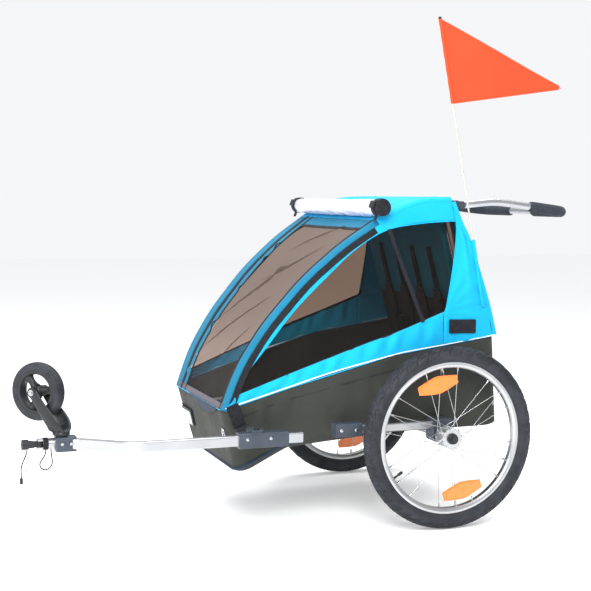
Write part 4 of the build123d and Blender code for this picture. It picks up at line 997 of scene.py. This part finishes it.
def rolled_cover():
    """The rolled clear cover with its black end trims, held by two straps."""
    rows = []
    for i in range(181):
        y = ROLL_HALF * (i / 90 - 1) * 0.985
        sag = -1.5 * (1 - (y / ROLL_HALF) ** 2)
        rows.append([ROLL_AT + Vector((math.cos(a), 0, math.sin(a))) * roll_shape(y, a) * MM
                     + Vector((0, y, sag)) * MM for a in angles(64)])
    Mesh().skin(rows, around=True, caps=True).piece(
        "roll_body", ROLLED, "canopy_frame", ["rolled_cover"], 50)
    trims = Mesh()
    for side in (-1, 1):
        r = ROLL_R - 1.5
        trims.turn([(-13, r - 2), (-12, r), (-1, r), (0, r - 1.5), (0, 6), (-0.6, 5)],
                   ROLL_AT + Vector((0, side * (ROLL_HALF - 0.5) * MM, 0)), (0, side, 0), 48)
    trims.piece("roll_end_trims", BINDING, "canopy_frame")
    straps, buckles = Mesh(), Mesh()
    for side in (-1, 1):
        y = side * 307
        path = []
        for k in range(41):
            a = math.radians(-60 + 300 * k / 40)
            r = (ROLL_R + 0.2 + 0.5 * math.sin(a * 3)) * MM
            path.append(ROLL_AT + Vector((math.cos(a) * r, y * MM, math.sin(a) * r)))
        normals = [(p - ROLL_AT - Vector((0, y * MM, 0))).normalized() for p in path]
        straps.sweep(path, strap_section(20, 1.6), normals)
        tail = [path[0], path[0] + Vector((0.002, 0, -0.006)), path[0] + Vector((0.005, 0, -0.013))]
        tail = resample(tail, 8)
        straps.sweep(tail, strap_section(20, 1.6), [Vector((0.97, 0, -0.2))] * 8)
        out = Vector((0.94, 0, 0.34)).normalized()
        up = Vector((-0.34, 0, 0.94))
        spot = ROLL_AT + Vector((0, y * MM, 0)) + out * (ROLL_R + 0.4) * MM
        buckles.plate(slotted(14, 10, 3), spot, up.cross(out), up, 4.2, 1)
        buckles.plate(slotted(8, 3, 1.5), spot + out * 4.2 * MM, up.cross(out), up, 1.2, 0.4)
    straps.piece("roll_straps", WEBBING, "canopy_frame", ["cover_straps"])
    buckles.piece("roll_buckles", BLACK, "canopy_frame")


HOOP_PIVOT, HOOP_LEAN = (-182, 318), 15.5


def rear_lines():
    """The rear panel's frame of reference: along the hoop's legs, and out behind them."""
    lean = math.radians(HOOP_LEAN)
    up = Vector((math.sin(lean), math.cos(lean)))
    return Vector(HOOP_PIVOT), up, Vector((up.y, -up.x))


def behind(s, y, ahead):
    foot, up, front = rear_lines()
    p = foot + up * s + front * ahead
    return at(p.x, y, p.y)


def rear_panel():
    """The rear wall: blue cloth with a mesh window above, a zipped storage flap below and side hems."""
    def lift(s, y):
        return -11.4 + 1.0 * waves(y / 70, s / 60, 3) + 1.2 * waves(y / 22, s / 40, 8) * share(s, 205, 260)

    def wall(name, low, high, tall, first, last, wide, material=BLUE, replaced=(), more=None):
        def point(v, u):
            s, y = low + (high - low) * v, first + (last - first) * u
            return behind(s, y, lift(s, y) + (more(u, v) if more else 0))

        return Mesh().skin(grid(tall, wide, point)).piece(name, material, "rear_hoop", replaced, 60)

    thicken(wall("rear_wall_lower", 205, 372, 16, -297, 297, 48, replaced=["rear_panel"]), 1.0)
    thicken(wall("rear_wall_top", 496, 542, 16, -297, 297, 48), 1.0)
    for label, side in SIDES.items():
        thicken(wall(f"{label}_rear_wall_edge", 370, 498, 12, side * 235, side * 297, 6), 1.0)
    wall("rear_window_mesh", 366, 502, 12, -240, 240, 48, MESH,
         more=lambda u, v: 2.0 + 3 * math.sin(math.pi * u) * math.sin(math.pi * v))
    tapes = Mesh()
    front = rear_lines()[2]
    out = Vector((-front.x, 0, -front.y))
    frame_line = [(-238, 370), (238, 370), (238, 498), (-238, 498), (-238, 370)]
    path = [behind(s, y, -12.6) for y, s in resample([Vector(p) for p in frame_line], 120)]
    tapes.sweep(path, strap_section(9, 1.6), [out] * len(path))
    zip_line = resample([Vector((-200, 352)), Vector((200, 352))], 40)
    tapes.sweep([behind(s, y, -13.2) for y, s in zip_line], strap_section(11, 1.8), [out] * 40)
    tapes.piece("rear_bindings", BINDING, "rear_hoop")
    pocket = Mesh().skin(grid(12, 40, lambda v, u: behind(
        226 + 118 * v, 205 * (2 * u - 1), -13.6 - 5 * math.sin(math.pi * u) * math.sin(math.pi * v)
        - 1.5 * waves(10 * u, 4 * v, 5))))
    thicken(pocket.piece("rear_pocket", NAVY, "rear_hoop", (), 60, "blue_fabric"), 1.2)


def padded_from(node, name, height, seams, pressure=4.0):
    """A stuffed shape grown from a CAD node by the cloth solver, seams held in."""
    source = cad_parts[node]
    made = bpy.data.objects.new(name, source.data.copy())
    made.matrix_world = source.matrix_world.copy()
    bpy.context.scene.collection.objects.link(made)
    bpy.context.view_layer.objects.active = made
    bpy.ops.object.select_all(action="DESELECT")
    made.select_set(True)
    mesh = made.data
    mesh.materials.clear()
    mesh.materials.append(SEAT)
    remesh = made.modifiers.new("remesh", "REMESH")
    remesh.mode = "VOXEL"
    remesh.voxel_size = 6 * MM
    bpy.ops.object.modifier_apply(modifier=remesh.name)
    held = made.vertex_groups.new(name="seams")
    held.add([v.index for v in mesh.vertices if seams(v.co)], 1.0, "REPLACE")
    before = [v.co.copy() for v in mesh.vertices]
    cloth = made.modifiers.new("cloth", "CLOTH")
    cloth.settings.use_pressure = True
    cloth.settings.uniform_pressure_force = pressure
    cloth.settings.effector_weights.gravity = 0
    cloth.settings.vertex_group_mass = "seams"
    cloth.settings.quality = 6
    scene = bpy.context.scene
    cloth.point_cache.frame_start, cloth.point_cache.frame_end = 1, 20
    for step in range(1, 21):
        scene.frame_set(step)
        bpy.context.view_layer.update()
    bpy.ops.object.modifier_apply(modifier=cloth.name)
    scene.frame_set(1)
    for v, start in zip(mesh.vertices, before):
        move = v.co - start
        if move.length > height * MM:
            v.co = start + move.normalized() * height * MM
    smooth = made.modifiers.new("smooth", "SUBSURF")
    smooth.levels = smooth.render_levels = 1
    bpy.ops.object.modifier_apply(modifier=smooth.name)
    made.data.shade_smooth()
    return made


def nearest_edge(co, low, high, margin):
    """Whether a point lies within a margin in mm of a box's upright edges."""
    m = margin * MM
    return min(co.x - low.x, high.x - co.x) < m or min(co.y - low.y, high.y - co.y) < m


def seat():
    """The seat cushion and the seat back, each with quilting seams, and the harness over them."""
    low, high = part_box("seat_cushion")

    def cushion_seams(co):
        across = min(abs(co.y - s * 74 * MM) for s in (-1, 1))
        return nearest_edge(co, low, high, 8) or co.z < low.z + 6 * MM or across < 4 * MM

    cushion = padded_from("seat_cushion", "cushion_cover", 11, cushion_seams)
    declare(cushion, "chassis", "seat_fabric", "seat_cushion")
    low_b, high_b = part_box("seat_back")
    foot, up, front = rear_lines()

    def back_seams(co):
        flat = Vector(((co.x - AXLE_X) / MM, co.z / MM)) - foot
        s, ahead = flat.dot(up), flat.dot(front)
        lane = min(abs(s - k) for k in (225, 310, 395, 480))
        return nearest_edge(co, low_b, high_b, -1) or s < 148 or s > 537 or ahead < 12 or lane < 4 \
            or abs(co.y) > 252 * MM or abs(co.y) < 4 * MM

    back = padded_from("seat_back", "seat_back_cover", 9, back_seams, 3.0)
    # The lining above the padding gets the blue cloth's darker copy: painted shade, not a colour of its own.
    back.data.materials.append(SHADED_BLUE)
    for face in back.data.polygons:
        if (face.center.z / MM - foot.y) / up.y > 300:  # the lining above the padding
            face.material_index = 1
    declare(back, "rear_hoop", "seat_fabric", "seat_back")

    straps, pads, buckles = Mesh(), Mesh(), Mesh()
    ahead_dir = Vector((front.x, 0, front.y))
    for y in (-165, -55, 55, 165):
        line = [behind(s, y, 33.2 + 3.0 * math.sin(math.pi * (s - 180) / 280)) for s in range(180, 461, 7)]
        straps.sweep(line, strap_section(25, 2.2), [ahead_dir] * len(line))
        pad_line = [behind(s, y, 36.5 + 3.0 * math.sin(math.pi * (s - 180) / 280))
                    for s in range(236, 337, 5)]
        pads.sweep(pad_line, slotted(21, 4.5, 4.2), [ahead_dir] * len(pad_line),
                   size=lambda t: 0.86 + 0.14 * min(1.0, 8 * t * (1 - t) + 0.2))
    for mid in (-110, 110):
        spot = behind(212, mid, 34.5)
        upward = Vector((up.x, 0, up.y))
        across = upward.cross(ahead_dir)
        buckles.plate(slotted(26, 22, 8), spot, across, upward, 12, 2.5)
        buckles.plate(slotted(9, 9, 8.5), spot + ahead_dir * 12 * MM, across, upward, 2.2, 0.8)
        for y in (mid - 55, mid + 55):
            a, b = behind(196, y, 34.6), behind(208, mid, 37)
            link = [a.lerp(b, k / 8) for k in range(9)]
            straps.sweep(link, strap_section(22, 2.0), [ahead_dir] * 9)
    straps.piece("harness_webbing", WEBBING, "rear_hoop", ["harness_straps"])
    pads.piece("harness_pads", SEAT, "rear_hoop")
    buckles.piece("harness_buckles", BLACK, "rear_hoop")


def pole_at(z):
    """The pole's middle line at a height, in mm from the axle foot."""
    return Vector((-127.6 + (z - 600) * (145.6 / 767), 305, z))


def flag():
    """The pennant with its hems and its sleeve, the pole's tip and the sleeve on the canopy's edge."""
    tip, top, low = Vector((-361, 305, 1197)), pole_at(1363), pole_at(1146)

    def flying(v, u):
        p = low.lerp(top, v).lerp(tip, u)
        swing = 7 * math.sin(5.2 * u + 0.9 * v) * u * (1 - 0.25 * u)
        return at(p.x, p.y + swing + 1.6 * waves(p.x / 60, p.z / 80, 2) * u, p.z)

    rows = grid(40, 48, flying)
    cloth = Mesh().skin(rows).piece("pennant_cloth", PENNANT, "flag", ["pennant"], 60)
    thicken(cloth, 0.6)
    declare_sheet(cloth, rows)
    hems = Mesh()
    for line in (rows[0], rows[-1]):
        path = [p.copy() for p in line[:-1]]
        hems.sweep(path, strap_section(7, 1.5), [Vector((0, 1, 0))] * len(path))
    sleeve = [at(*pole_at(1144 + 221 * k / 40)) for k in range(41)]
    hems.tube(sleeve, 4.4, 16, size=lambda t: 1 + 0.06 * math.sin(t * 34))
    hems.piece("pennant_hems", PENNANT, "flag")
    axis = (at(*pole_at(1200)) - at(*pole_at(1100))).normalized()
    caps = Mesh()
    caps.turn([(-3, 3.2), (-2.5, 4.2), (3.5, 4.4), (5, 3.4), (5.8, 1.5)], at(*pole_at(1366)), axis, 20)
    caps.piece("pole_tip", BLACK, "flag")
    path = [at(*pole_at(594 + 183 * k / 60)) for k in range(61)]
    sleeve_made = Mesh().tube(path, 5.0, 20, size=lambda t: (
        1 + 0.07 * waves(t * 22, 1, 5) - 0.12 * share(t, 0.97, 1)))
    sleeve_made.piece("flag_sleeve_cloth", BLUE, "canopy_frame", ["flag_sleeve"])


# ---- the tub -------------------------------------------------------------------------------------------
def edge_line(stations, x):
    """Height of one of the tub's edge lines at x, and past its ends."""
    for (x0, z0), (x1, z1) in zip(stations, stations[1:]):
        if x <= x1 or (x1, z1) == stations[-1]:
            return z0 + (z1 - z0) * (x - x0) / (x1 - x0)


def low_half(x):
    """Half the tub's width at its bottom."""
    return 269 - 47 * share(x, 100, 553)


RINGS = 18
AROUND = 360


def ring_corners(t):
    """The tub's rear and nose corners, in side view, at a share of its height, 0 at the bottom."""
    return [Vector(TUB_LOW[end]).lerp(Vector(TUB_TOP[end]), t) for end in (0, -1)]


def tub_ring(t, grow=0.0):
    """A closed ring round the tub at a share of its height, sitting on the outer face."""
    rear, nose = ring_corners(t)
    stations = [rear.x + (nose.x - rear.x) * k / 30 for k in range(31)]
    half_at = [low_half(x) + (cabin_half(x) - low_half(x)) * t for x in stations]
    height = []
    for k, x in enumerate(stations):
        share_x = (x - rear.x) / (nose.x - rear.x)
        top_x, low_x = (line[0][0] + (line[-1][0] - line[0][0]) * share_x for line in (TUB_TOP, TUB_LOW))
        height.append(edge_line(TUB_LOW, low_x) * (1 - t) + edge_line(TUB_TOP, top_x) * t)
    corner = 30 + 6 * (1 - t)
    line = []
    for side in (1, -1):
        order = range(31) if side > 0 else range(30, -1, -1)
        line += [Vector((stations[k], side * (half_at[k] + grow), height[k])) for k in order]
    closed = line + [line[0]]
    rounded_line = []
    n = len(closed) - 1
    corners = {0, 30, 31, 61}
    for k in range(n):
        p = closed[k]
        if k in corners:
            before, after = closed[(k - 1) % n], closed[(k + 1) % n]
            u, w = (before - p).normalized(), (after - p).normalized()
            half = u.angle(w) / 2
            centre = p + (u + w).normalized() * corner / math.sin(half)
            start, end = p + u * corner / math.tan(half), p + w * corner / math.tan(half)
            for m in range(9):
                rounded_line.append(centre + (start.lerp(end, m / 8) - centre).normalized() * corner)
        elif min((p - closed[c]).length for c in corners) > corner * 1.1:
            rounded_line.append(p)
    start_at = (closed[0] + closed[61]) / 2
    rotated = [start_at] + rounded_line + [start_at]
    return resample(rotated, AROUND + 1)[:-1]


def tub():
    """The tub: gathered grey cloth walls, a rounded bottom edge and a sewn-in floor."""
    rows = []
    levels = [k / (RINGS - 1) for k in range(RINGS)]
    for t in levels:
        ring = tub_ring(t)
        centre = sum(ring, Vector()) / len(ring)
        row = []
        for i, p in enumerate(ring):
            side = abs(p.y) > 0.8 * cabin_half(p.x)
            out = Vector((0, math.copysign(1, p.y), 0)) if side else (p - centre).normalized()
            forward = share(p.x, 330, 560)
            gather = math.sin(p.x / 11 + 4 * waves(p.x / 60, 0, 2)) * (0.4 + forward * 1.4)
            gather *= share(t, 0.3, 1.0) * side
            slack = 2.4 * waves(p.x / 110, p.z / 80, p.y / 110) + 0.9 * waves(p.x / 32, p.z / 45, p.y / 40)
            lift = (slack * 2.2 + gather * 4.5) * math.sin(math.pi * min(1, 0.04 + t * 0.96) * 0.98)
            row.append(at(*(p + out * lift)))
        rows.append(row)
    bottom = rows[0]
    middle_line = sum(bottom, Vector()) / len(bottom)
    under = []
    for inset, drop in ((3, 4.5), (9, 8), (17, 10)):
        under.append([p.lerp(Vector((middle_line.x, 0, p.z)), inset / 300) + Vector((0, 0, -drop * MM))
                      for p in bottom])
    wall = Mesh().skin(list(reversed(under)) + rows, around=True)
    start = len(wall.verts)
    deepest = under[-1]
    half = AROUND // 2
    lanes = 24
    for i in range(half + 1):
        a, b = deepest[i % AROUND], deepest[(AROUND - i) % AROUND]
        for j in range(lanes + 1):
            u = j / lanes
            p = a.lerp(b, u)
            dip = 5 * math.sin(math.pi * u) * min(1, i / 12) * min(1, (half - i) / 12)
            rise = -dip + 1.0 * waves(p.x * 18, p.y * 18, 3) * math.sin(math.pi * u)
            wall.verts.append(p + Vector((0, 0, rise)) * MM)
    for i in range(half):
        for j in range(lanes):
            a = start + i * (lanes + 1) + j
            wall.faces.append((a, a + 1, a + lanes + 2, a + lanes + 1))
    thicken(wall.piece("tub_cloth_body", TUB_CLOTH, "chassis", ["tub"], 60), 1.4)
    rim, seam, edge = Mesh(), Mesh(), Mesh()
    top = [at(*p) for p in tub_ring(1.0, 0.0)]
    rim_path = top + [top[0]]
    out_of = [Vector((0, 0, 1))] * len(rim_path)
    rim.sweep(rim_path, strap_section(7, 2.6), out_of)
    rim.piece("tub_rim_binding", BLUE, "chassis")
    low_seam = [at(*p) for p in tub_ring(0.80, 0.9)]
    seam.tube(low_seam + [low_seam[0]], 0.9, 6)
    seam.piece("tub_seam", CHARCOAL, "chassis")
    bound = [at(*p) for p in tub_ring(0.0, 0.6) if p.x > 380]
    order = sorted(bound, key=lambda p: math.atan2(p.y, p.x - at(380, 0, 0).x))
    edge.tube(order, 4.4, 10)
    edge.piece("tub_nose_binding", NAVY, "chassis")


def tub_trims():
    """The corner strap patches and rings at the nose, and the white reflector in its frame."""
    patches, buckles, rings = Mesh(), Mesh(), Mesh()
    for side in SIDES.values():
        out = Vector((0.12, side, -0.16)).normalized()
        top, low = Vector((574, 0, 345)), Vector((541, 0, 262))
        path = []
        for k in range(13):
            u = k / 12
            x, z = top.x + (low.x - top.x) * u, top.z + (low.z - top.z) * u
            t = (z - edge_line(TUB_LOW, x)) / (edge_line(TUB_TOP, x) - edge_line(TUB_LOW, x))
            half = low_half(x) + (cabin_half(x) - low_half(x)) * t
            path.append(at(x, side * (half + 3.4), z))
        patches.sweep(path, strap_section(34, 2.4), [out] * len(path))
        spot = path[-3]
        up = (path[0] - path[-1]).normalized()
        across = up.cross(out).normalized()
        buckles.plate(slotted(17, 12, 4), spot + out * 1.2 * MM, across, up, 7, 1.8)
        buckles.plate(slotted(10, 3, 1.5), spot + out * 8.2 * MM, across, up, 1.4, 0.5)
        hoop = [at(584 + 3 * math.sin(a), side * (206 + 9 * math.cos(a)), 262 + 15 * math.sin(a))
                for a in (math.radians(15 * k) for k in range(25))]
        rings.tube(hoop, 2.4, 10)
    scoop = [(-135 + 270 * k / 24, 1) for k in range(25)]
    scoop += [(135 - 270 * k / 24, -27 * math.sin(math.pi * k / 24) ** 0.6) for k in range(25)]
    pocket = Mesh().plate(scoop, at(600, 60, 330), (0, 1, 0), (0.263, 0, 0.965), 2.4, 0.6)
    pocket.piece("nose_scoop", NAVY, "chassis")
    arm_low, arm_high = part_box("tow_arm")
    z = (arm_low.z + arm_high.z) / 2
    spot = Vector((at(446, 0, 0).x, at(0, 318, 0).y, z))
    tail = Mesh().plate(slotted(17.5, 19.5, 5), spot, (0, 1, 0), (0, 0, 1), 31, 1.5)
    tail.piece("receiver_tail", SLATE, "chassis")
    patches.piece("corner_straps", WEBBING, "chassis")
    buckles.piece("corner_buckles", BLACK, "chassis")
    rings.piece("tie_rings", STEEL, "chassis")
    low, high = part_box("front_reflector")
    mid = (low + high) / 2
    wide, tall = (high.y - low.y) / 2 / MM, (high.z - low.z) / 2 / MM
    facing = Vector((0.97, 0, -0.25)).normalized()
    up = Vector((0.25, 0, 0.97)).normalized()
    spot = Vector((high.x - 0.26 * tall * MM, mid.y, mid.z)) - facing * 6 * MM
    housing = Mesh().plate(slotted(wide, tall, 5), spot, (0, 1, 0), up, 6, 1.2)
    housing.piece("reflector_housing", BLACK, "chassis")
    Mesh().plate(slotted(wide - 5, tall - 5, 3.5), spot + facing * 5.5 * MM, (0, 1, 0), up, 3.2, 1).piece(
        "reflector_lens", CLEAR_LENS, "chassis", ["front_reflector"])


# ---- frame details -------------------------------------------------------------------------------------
def grips():
    """Foam grips round the push bar's arms and corners, with rounded ends."""
    made = Mesh()
    for side in (1, -1):
        rear, front, corner = Vector((-425, 853)), Vector((-190, 882)), 50
        slope = (rear - front).normalized()
        start = front + slope * ((-300 - front.x) / slope.x)
        line = [Vector((start.x, side * 250, start.y))]
        bend = rear - slope * corner
        line.append(Vector((bend.x, side * 250, bend.y)))
        for k in range(1, 13):
            a = math.radians(90 * k / 12)
            p = bend + slope * corner * math.sin(a)
            line.append(Vector((p.x, side * (200 + corner * math.cos(a)), p.y)))
        line.append(Vector((rear.x, side * 65, rear.y)))
        path = [at(*p) for p in resample(line, 90)]
        made.tube(path, 15, 28, size=lambda t: (
            0.82 + 0.18 * math.sin(min(1, 30 * min(t, 1 - t)) * math.pi / 2) + 0.012 * math.sin(t * 260)))
    made.piece("grip_foam", FOAM, "handlebar", ["handlebar_grips"], 50)


def frame_trims():
    """Rivets, end plugs and screw heads on the frame."""
    rivets, plugs = Mesh(), Mesh()
    low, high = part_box("tow_arm_receiver")
    for share_x in (0.2, 0.8):
        spot = Vector((low.x + (high.x - low.x) * share_x, high.y, (low.z + high.z) / 2))
        rivets.turn([(-1, 4.5), (0.4, 4.5), (1.6, 3.6), (2.2, 1.6)], spot, (0, 1, 0), 20)
    low_r, high_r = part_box("rail_brackets")
    for side in (1, -1):
        for share_x in (0.22, 0.78):
            y = high_r.y if side > 0 else low_r.y
            spot = Vector((low_r.x + (high_r.x - low_r.x) * share_x, y, (low_r.z + high_r.z) / 2))
            rivets.turn([(-1, 4.8), (0.4, 4.8), (1.8, 3.6), (2.2, 1.6)], spot, (0, side, 0), 20)
    for label, side in SIDES.items():
        low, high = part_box(f"{label}_side_rail")
        for x, way in ((low.x, -1), (high.x, 1)):
            origin = Vector((x - way * 1 * MM, (low.y + high.y) / 2, (low.z + high.z) / 2))
            across = (0, 1, 0) if way > 0 else (0, -1, 0)
            plugs.plate(slotted(10.6, 10.6, 3), origin, across, (0, 0, 1), 3.4, 1)
    rivets.piece("frame_rivets", STEEL, "chassis")
    plugs.piece("rail_plugs", BLACK, "chassis")
    clamp_low, clamp_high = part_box("caster_clamp")
    bolts = Mesh()
    for x in (0.28, 0.72):
        spot = Vector((clamp_low.x + (clamp_high.x - clamp_low.x) * x, clamp_high.y,
                       (clamp_low.z + clamp_high.z) / 2))
        bolts.turn([(-1, 4.4), (2.6, 4.4), (3.2, 3.8), (3.2, 2.4), (1.2, 2.2)], spot, (0, 1, 0), 6)
    bolts.piece("clamp_bolts", STEEL, "tow_arm")


CASTER_YAW = math.radians(-46)


def caster_axes():
    """The caster wheel's middle, its rolling direction and its axle."""
    wheel = middle("caster_tyre")
    axle = Vector((-math.sin(CASTER_YAW), math.cos(CASTER_YAW), 0))
    return wheel, Vector((math.cos(CASTER_YAW), math.sin(CASTER_YAW), 0)), axle


def caster():
    """The caster: a moulded fork, a three-spoke wheel and a tyre with fine sipes."""
    wheel, roll, axle = caster_axes()
    radius, half = 75.0, 18.0
    rows, steps, lane = [], 360, 26
    for i, a in enumerate(angles(steps)):
        spoke = roll * math.sin(a) + Vector((0, 0, math.cos(a)))
        row = []
        for j in range(lane + 1):
            b = math.radians(120) * (2 * j / lane - 1)
            depth = 0.9 * cut((i / 6 + abs(j - lane / 2) * 0.12) % 1, 0.35) * (1 if abs(b) < 1.1 else 0)
            r = radius - 9 + (9 - depth) * math.cos(b)
            y = half * math.sin(b)
            row.append(wheel + (spoke * r + axle * y) * MM)
        for j in range(5):
            y = 15.5 * (1 - 2 * j / 4)
            row.append(wheel + (spoke * 56.2 + axle * y) * MM)
        rows.append(row)
    Mesh().skin(rows, around=True, ring=True).piece(
        "caster_tread", TYRE, "caster_wheel", ["caster_tyre"], 50)
    rim_half = 15.0
    rim_shape = [(-rim_half, 48), (-rim_half, 55.8), (-rim_half + 3, 55.9), (rim_half - 3, 55.9),
                 (rim_half, 55.8), (rim_half, 48), (rim_half - 4, 45), (4, 44), (-4, 44), (-rim_half + 4, 45)]
    rim_made = Mesh().turn(rim_shape, wheel, axle, 72, ring=True)
    rim_made.piece("caster_rim", BLACK, "caster_wheel", ["caster_wheel"])
    hub_shape = [(-15, 5), (-15, 13), (-13.5, 15), (13.5, 15), (15, 13), (15, 5)]
    hub_made = Mesh().turn(hub_shape, wheel, axle, 40, ring=True)
    hub_made.piece("caster_hub", BLACK, "caster_wheel")
    spokes = Mesh()
    for k in range(3):
        a = math.radians(40 + 120 * k)
        out = roll * math.sin(a) + Vector((0, 0, math.cos(a)))
        path = [wheel + out * (12 + 35 * s / 10) * MM for s in range(11)]
        spokes.sweep(path, oval_section(9.5, 8, 20), [axle] * 11, lambda t: 1 + 0.5 * (2 * t - 1) ** 2)
    spokes.piece("caster_spokes", BLACK, "caster_wheel")
    fork_foot = Vector((at(1014, 0, 0).x, 0.214, 287.3 * MM))
    arch = [(70, 392 - 287, 24.5), (40, 66, 24.5), (14, 36, 24.5), (4, 20, 22), (0, 10, 12), (0, 8, 0)]
    arch += [(a, b, -c) for a, b, c in reversed(arch[:-1])]
    path = through([fork_foot + (roll * a + Vector((0, 0, b)) + axle * c) * MM for a, b, c in arch], 80)
    normals = []
    for k, p in enumerate(path):
        beyond = (p - fork_foot).dot(axle) / (24.5 * MM)
        normals.append((axle * beyond + Vector((0, 0, -1)) * (1 - min(1, abs(beyond)))
                        + axle * 0.001).normalized())
    fork = Mesh().sweep(path, oval_section(13.5, 3.6, 28), normals,
                        lambda t: 1 + 0.45 * math.sin(math.pi * t) ** 2)
    for side in (1, -1):
        cheek = wheel + axle * side * 24.5 * MM
        fork.turn([(-4.2, 10), (-3.6, 13.2), (3.6, 13.2), (4.2, 10)], cheek, axle, 40)
    fork.turn([(0, 20), (1, 22), (7, 22), (12, 17), (13, 8)], fork_foot, (0, 0, 1), 48)
    fork.turn([(-40, 6), (2, 6)], fork_foot, (0, 0, 1), 24)
    fork.piece("fork_moulding", BLACK, "caster_fork", ["caster_fork"], 50)
    bolts = Mesh()
    for side in (1, -1):
        spot = wheel + axle * side * 28 * MM
        bolts.turn([(-1, 7), (1.5, 7), (2, 6), (2, 5.6), (5.5, 5.2), (6, 4.4)], spot, axle * side, 6)
    bolts.piece("caster_bolts", STEEL, "caster_fork")


def hitch():
    """The strap round the hitch block and the hanging pin."""
    straps, pins = Mesh(), Mesh()
    block = middle("hitch_block")
    path = []
    for k in range(33):
        a = 2 * math.pi * k / 32
        path.append(block + Vector((0.0, math.cos(a), math.sin(a))) * 15.0 * MM)
    normals = [(p - block).normalized() for p in path]
    straps.sweep(path, strap_section(13, 1.6), normals)
    straps.piece("hitch_strap", WEBBING, "tow_arm")
    pin_top = at(1098, 221, 246)
    shaft = [pin_top, pin_top + Vector((0.002, 0.001, -0.028)), pin_top + Vector((0.005, 0.002, -0.052))]
    pins.tube(resample(shaft, 12), 1.6, 12)
    loop = [pin_top + Vector((0, 0.001, 0.004)) + Vector((math.cos(a), 0, math.sin(a))) * 5 * MM
            for a in (2 * math.pi * k / 24 for k in range(25))]
    pins.tube(loop, 0.9, 8)
    pins.piece("hitch_pin", STEEL, "hitch_head")


# ---- cords ---------------------------------------------------------------------------------------------
SAFETY_LOOP = [(1051, 206, 250.7), (1052, 206, 239), (1059, 205, 227), (1067, 203, 215),
               (1064, 200, 202), (1052, 199, 195.5), (1040, 200, 201), (1034.5, 203, 213),
               (1036, 205.5, 227), (1038.2, 206, 239), (1038.5, 206, 250.7)]
STRAP_TAIL = [(1098, 206, 251.7), (1100, 206, 240), (1105, 205.5, 229), (1110, 204, 217), (1113, 203, 204),
              (1113, 203.5, 191), (1112.5, 204, 180)]


def cord(name, points, body, replaced):
    """A free cord as a curve through the same control points as the CAD."""
    data = bpy.data.curves.new(name, "CURVE")
    data.dimensions = "3D"
    spline = data.splines.new("NURBS")
    spline.points.add(len(points) - 1)
    for spot, p in zip(spline.points, points):
        spot.co = (*at(*p), 1)
    spline.order_u = 3
    spline.use_endpoint_u = True
    spline.resolution_u = 12
    data.bevel_depth = 1.7 * MM
    data.bevel_resolution = 5
    data.use_fill_caps = True
    data.materials.append(WEBBING)
    made = declare(bpy.data.objects.new(name, data), body, "black_webbing", replaced)


# ---- the whole -----------------------------------------------------------------------------------------
bpy.context.scene.view_settings.view_transform = "Standard"
add_camera(at(1530, 3314, 890), -110.23, -4.55, 0.5, 75.5)
cord("safety_cord", SAFETY_LOOP, "tow_arm", "safety_loop")
cord("tail_cord", STRAP_TAIL, "hitch_head", "strap_tail")
dress_cad()
for label, side in SIDES.items():
    tyre(label, side)
    rim(label, side)
    wheel_reflectors(label, side)
    hub_trim(label, side)
    side_canopy(label, side)
edge_rolls()
front_cover()
roof()
rolled_cover()
rear_panel()
seat()
flag()
tub()
tub_trims()
grips()
frame_trims()
caster()
hitch()
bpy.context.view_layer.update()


def studio():
    """A pale floor, an even pale sky and large soft lamps."""
    pale = Shader("pale_floor", (0.965, 0.965, 0.97), 0.75, Emission_Strength=0.22, Specular_IOR_Level=0.1)
    pale.main.inputs["Emission Color"].default_value = (1, 1, 1, 1)
    pale.vary_rough(pale.speckle(12), 0.08)
    pale.tint(pale.speckle(3), (0.95, 0.95, 0.955))
    plane = Mesh()
    r, z = 14, -0.0008
    plane.verts = [Vector((-r, -r, z)), Vector((r, -r, z)), Vector((r, r, z)), Vector((-r, r, z))]
    plane.faces = [(0, 1, 2, 3)]
    plane.piece("floor", pale.material, None)
    world = bpy.data.worlds.new("sky")
    world.use_nodes = True
    tree = world.node_tree
    sky = tree.nodes["Background"]
    sky.inputs["Color"].default_value = (0.96, 0.98, 1.0, 1)
    sky.inputs["Strength"].default_value = 0.72
    seen = tree.nodes.new("ShaderNodeBackground")
    seen.inputs["Color"].default_value = (0.98, 0.985, 1.0, 1)
    seen.inputs["Strength"].default_value = 0.94
    mix, path = tree.nodes.new("ShaderNodeMixShader"), tree.nodes.new("ShaderNodeLightPath")
    tree.links.new(path.outputs["Is Camera Ray"], mix.inputs["Fac"])
    tree.links.new(sky.outputs[0], mix.inputs[1])
    tree.links.new(seen.outputs[0], mix.inputs[2])
    tree.links.new(mix.outputs[0], tree.nodes["World Output"].inputs["Surface"])
    bpy.context.scene.world = world
    add_lamp("key", (1.6, 3.4, 3.0), (0, 0, 0.4), 2.0, 210)
    add_lamp("front", (3.6, 0.6, 1.8), (0, 0, 0.4), 1.8, 60)
    add_lamp("top", (-0.6, -0.6, 3.6), (0, 0, 0.5), 2.6, 120)


studio()
